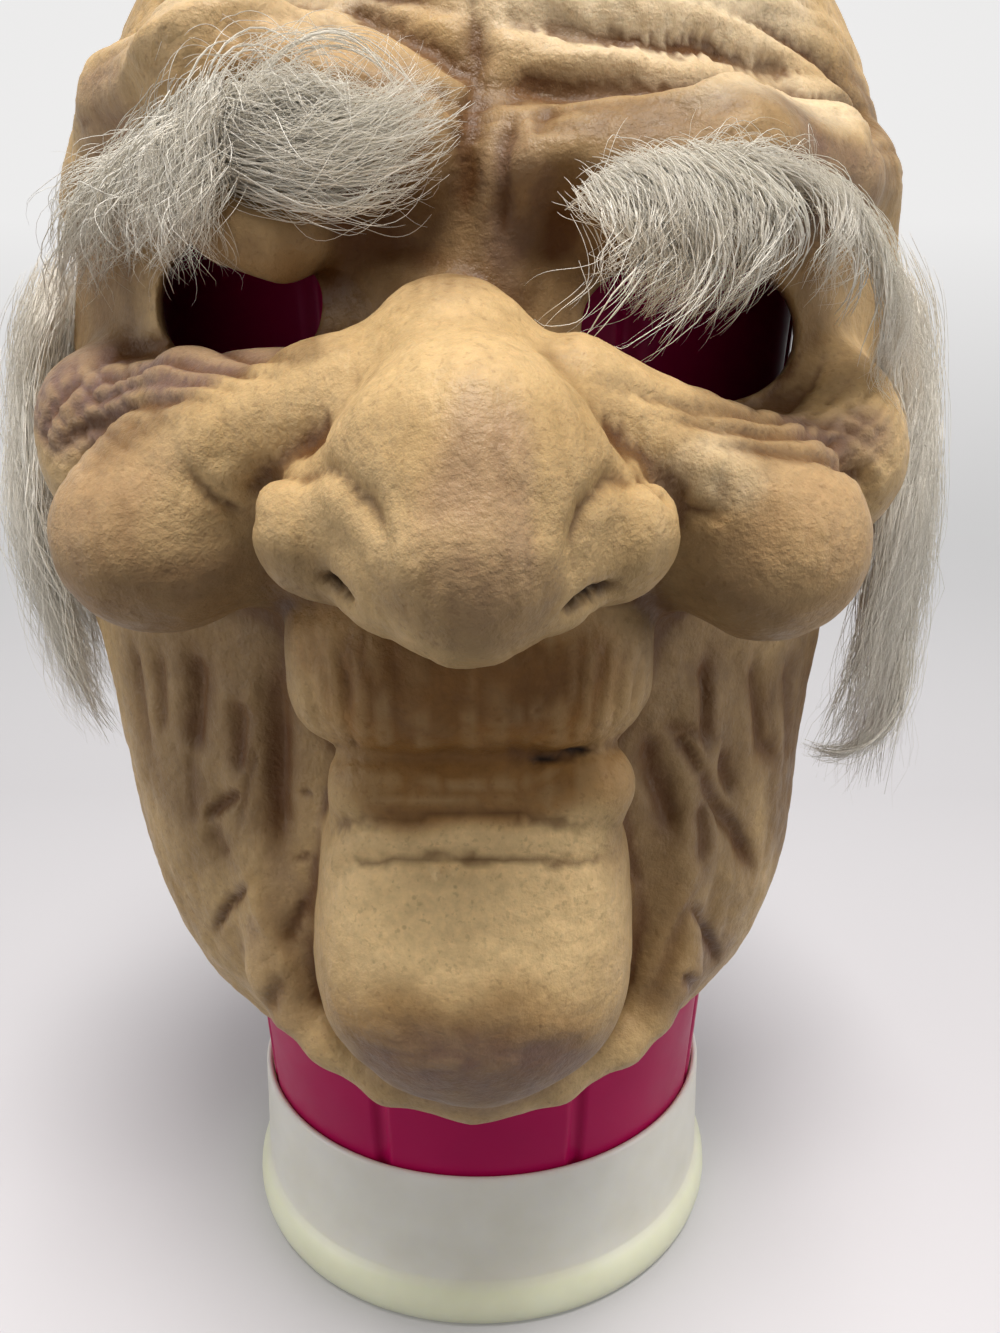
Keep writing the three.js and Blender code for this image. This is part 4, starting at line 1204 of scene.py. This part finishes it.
def tubes(lines, thick):
    """Closed tapered tubes of three sides along centre lines: their points and the corners of their faces."""
    count, points, _ = lines.shape
    way = unit(np.gradient(lines, axis=1))
    side = unit(np.cross(way, np.array([0.31, 0.21, 0.93])))
    lift = np.cross(side, way)
    steps = np.linspace(0, 1, points)
    radius = thick[:, None] / 2 * np.interp(steps, [0, 0.08, 0.65, 1], [0.5, 1, 0.85, 0.2])
    rings = []
    for angle in (0, 2 * math.pi / 3, 4 * math.pi / 3):
        rings.append(lines + (side * math.cos(angle) + lift * math.sin(angle)) * radius[..., None])
    index = np.arange(count * points * 3).reshape(count, points, 3)
    low, high = index[:, :-1], index[:, 1:]
    quads = np.stack([low, np.roll(low, -1, 2), np.roll(high, -1, 2), high], -1).reshape(-1, 4)
    ends = np.concatenate([index[:, 0, ::-1], index[:, -1]])
    return np.stack(rings, 2).reshape(-1, 3), quads, ends


def tuft(name, material, seed, share):
    rng = np.random.default_rng(seed)
    points, quads, ends = [], [], []
    start = 0
    for layer in HAIR_LAYERS:
        for sheet in HAIR[name]:
            budget = HAIR_TRIANGLES[name] * share * layer["triangles"] * sheet["share"]
            count = int(budget / (6 * layer["points"] - 4))
            lines = clear_of_skin(strands(sheet, layer, count, rng))
            p, q, e = tubes(lines, rng.uniform(0.7, 1.25, count) * layer["thick"])
            points.append(p)
            quads.append(q + start)
            ends.append(e + start)
            start += len(p)
    points, quads, ends = (np.concatenate(part) for part in (points, quads, ends))
    piece = mesh_object(name + "_strands", points + FACE_SHIFT, [quads, ends], material)
    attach(piece, "root")
    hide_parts(name)
    return piece


# The stand

# Radius of the tiny hole on the axis, which keeps every face four-cornered
CENTRE = 0.01


def turned(name, profile, sides, material, radius_of=None):
    """A body of revolution round z from its profile of radius and height, in millimetres."""
    angles = np.arange(sides) * 2 * math.pi / sides
    points = []
    for radius, z in profile:
        r = np.full(sides, radius) if radius_of is None else radius_of(radius, z, angles)
        points.append(np.stack([r * np.cos(angles), r * np.sin(angles), np.full(sides, z)], -1))
    index = np.arange(len(profile) * sides).reshape(len(profile), sides)
    low, high = index[:-1], index[1:]
    quads = np.stack([low, np.roll(low, -1, 1), np.roll(high, -1, 1), high], -1).reshape(-1, 4)
    return mesh_object(name, np.concatenate(points), [quads], material)


def tub_piece(material):
    pitch = 2 * math.pi / GROOVE["count"]

    def grooved(radius, z, angles):
        outer = radius >= tub_radius(z) - 0.8
        off = np.abs((angles - math.pi / 2) % pitch - pitch / 2) * radius
        dip = GROOVE["depth"] * (1 - ramp(off, GROOVE["width"] * 0.18, GROOVE["width"] * 0.55))
        return radius - (dip if outer else 0)

    low, high, wall = TUB["low"], TUB["high"], TUB["wall"]
    ceiling = high - wall
    profile = [(CENTRE, ceiling), (tub_radius(ceiling) - wall - 1, ceiling)]
    profile += [(tub_radius(ceiling - 1) - wall, ceiling - 1)]
    profile += [(tub_radius(low) - wall, low + 0.4), (tub_radius(low) - wall + 0.5, low)]
    profile += [(tub_radius(low) - 0.4, low), (tub_radius(low + 0.5), low + 0.5)]
    profile += [(tub_radius(z), z) for z in np.linspace(20, high - 1.2, 12)]
    profile += [(tub_radius(high) - 0.35, high - 0.35), (tub_radius(high) - 1.2, high), (CENTRE, high)]
    piece = turned("tub", profile, TUB["sides"], material, grooved)
    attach(piece, "root")
    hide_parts("stand_drum")
    return piece


def cup_piece(material):
    def inner(z):
        return tub_radius(z) + CUP["gap"]

    top, height, floor = CUP["top"], CUP["height"], CUP["floor"]
    profile = [(CENTRE, 0)] + CUP_BEAD + [(top + 0.1, height - 1), (top - 0.2, height - 0.25)]
    profile += [(top - 0.6, height), (inner(height) + 0.4, height), (inner(height - 0.4), height - 0.4)]
    profile += [(inner(floor), floor), (CENTRE, floor)]
    piece = turned("cup", profile, CUP["sides"], material)
    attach(piece, "root")
    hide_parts("stand_base")
    return piece


# Surroundings

# Floor and wall in metres
SWEEP = dict(flat=2.2, bend=1.6, top=6.0, half=7.0, steps=24)

# Lights: places and width in metres, energy in watts
KEY = dict(place=(0.08, -0.60, 1.58), target=(0, -0.08, 0.2), energy=29.0, width=0.6, tint=(1.0, 0.97, 0.93))
SIDE = dict(place=(1.25, -0.45, 0.45), target=(0, -0.05, 0.15), energy=6.0, width=0.9, tint=(1.0, 0.99, 0.97))
FILL = 0.21

# Camera: lens and sensor in millimetres, place and nearest in metres, how far it looks down in degrees
CAMERA = dict(lens=27.03, sensor=36, place=(0.0055, -0.285, 0.227), nearest=0.01, down=13)


def sweep_piece():
    """A floor that bends up into a wall far behind the mask, too pale to show its bend."""
    half, flat, bend = SWEEP["half"], SWEEP["flat"], SWEEP["bend"]
    side = [(-half, 0.0), (flat, 0.0)]
    for k in range(1, SWEEP["steps"] + 1):
        angle = math.pi / 2 * k / SWEEP["steps"]
        side.append((flat + bend * math.sin(angle), bend * (1 - math.cos(angle))))
    side.append((side[-1][0], SWEEP["top"]))
    points = [(x, y, z) for y, z in side for x in (-half, half)]
    faces = [(2 * k, 2 * k + 1, 2 * k + 3, 2 * k + 2) for k in range(len(side) - 1)]
    piece = mesh_object("sweep", np.array(points) / MM, [faces], floor_material())
    piece.visible_diffuse = False


def area_light(name, place, target, energy, width, tint):
    data = bpy.data.lights.new(name, "AREA")
    data.energy = energy
    data.size = width
    data.color = tint
    light = bpy.data.objects.new(name, data)
    light.location = place
    light.rotation_euler = (Vector(target) - Vector(place)).to_track_quat("-Z", "Y").to_euler()
    bpy.context.scene.collection.objects.link(light)


def surroundings():
    sweep_piece()
    world = bpy.data.worlds.new("studio")
    world.use_nodes = True
    background = world.node_tree.nodes["Background"]
    background.inputs["Color"].default_value = ROOM_WHITE
    background.inputs["Strength"].default_value = FILL
    bpy.context.scene.world = world
    area_light("key", **KEY)
    x, y, z = SIDE["place"]
    for side in (-1, 1):
        area_light("side", **dict(SIDE, place=(side * x, y, z)))
    bpy.context.scene.view_settings.view_transform = "Standard"
    bpy.context.scene.view_settings.look = "None"


def camera():
    data = bpy.data.cameras.new("camera")
    data.lens = CAMERA["lens"]
    data.sensor_width = CAMERA["sensor"]
    data.clip_start = CAMERA["nearest"]
    data.dof.use_dof = False
    view = bpy.data.objects.new("camera", data)
    view.location = CAMERA["place"]
    view.rotation_euler = (math.radians(90 - CAMERA["down"]), 0, 0)
    bpy.context.scene.collection.objects.link(view)
    bpy.context.scene.camera = view


def build():
    camera()
    surroundings()
    mask_skin(latex_material())
    white = hair_material("hair white", *WHITE_HAIR)
    grey = hair_material("hair grey", *GREY_HAIR)
    share = 1.0
    tuft("eyebrow_left", white, 5, share)
    tuft("eyebrow_right", white, 6, share)
    tuft("side_hair_left", grey, 7, share)
    tuft("side_hair_right", grey, 8, share)
    tub_piece(tub_material())
    cup_piece(cup_material())


def corners(box):
    return [[float(v) for v in corner] for corner in box]


build()
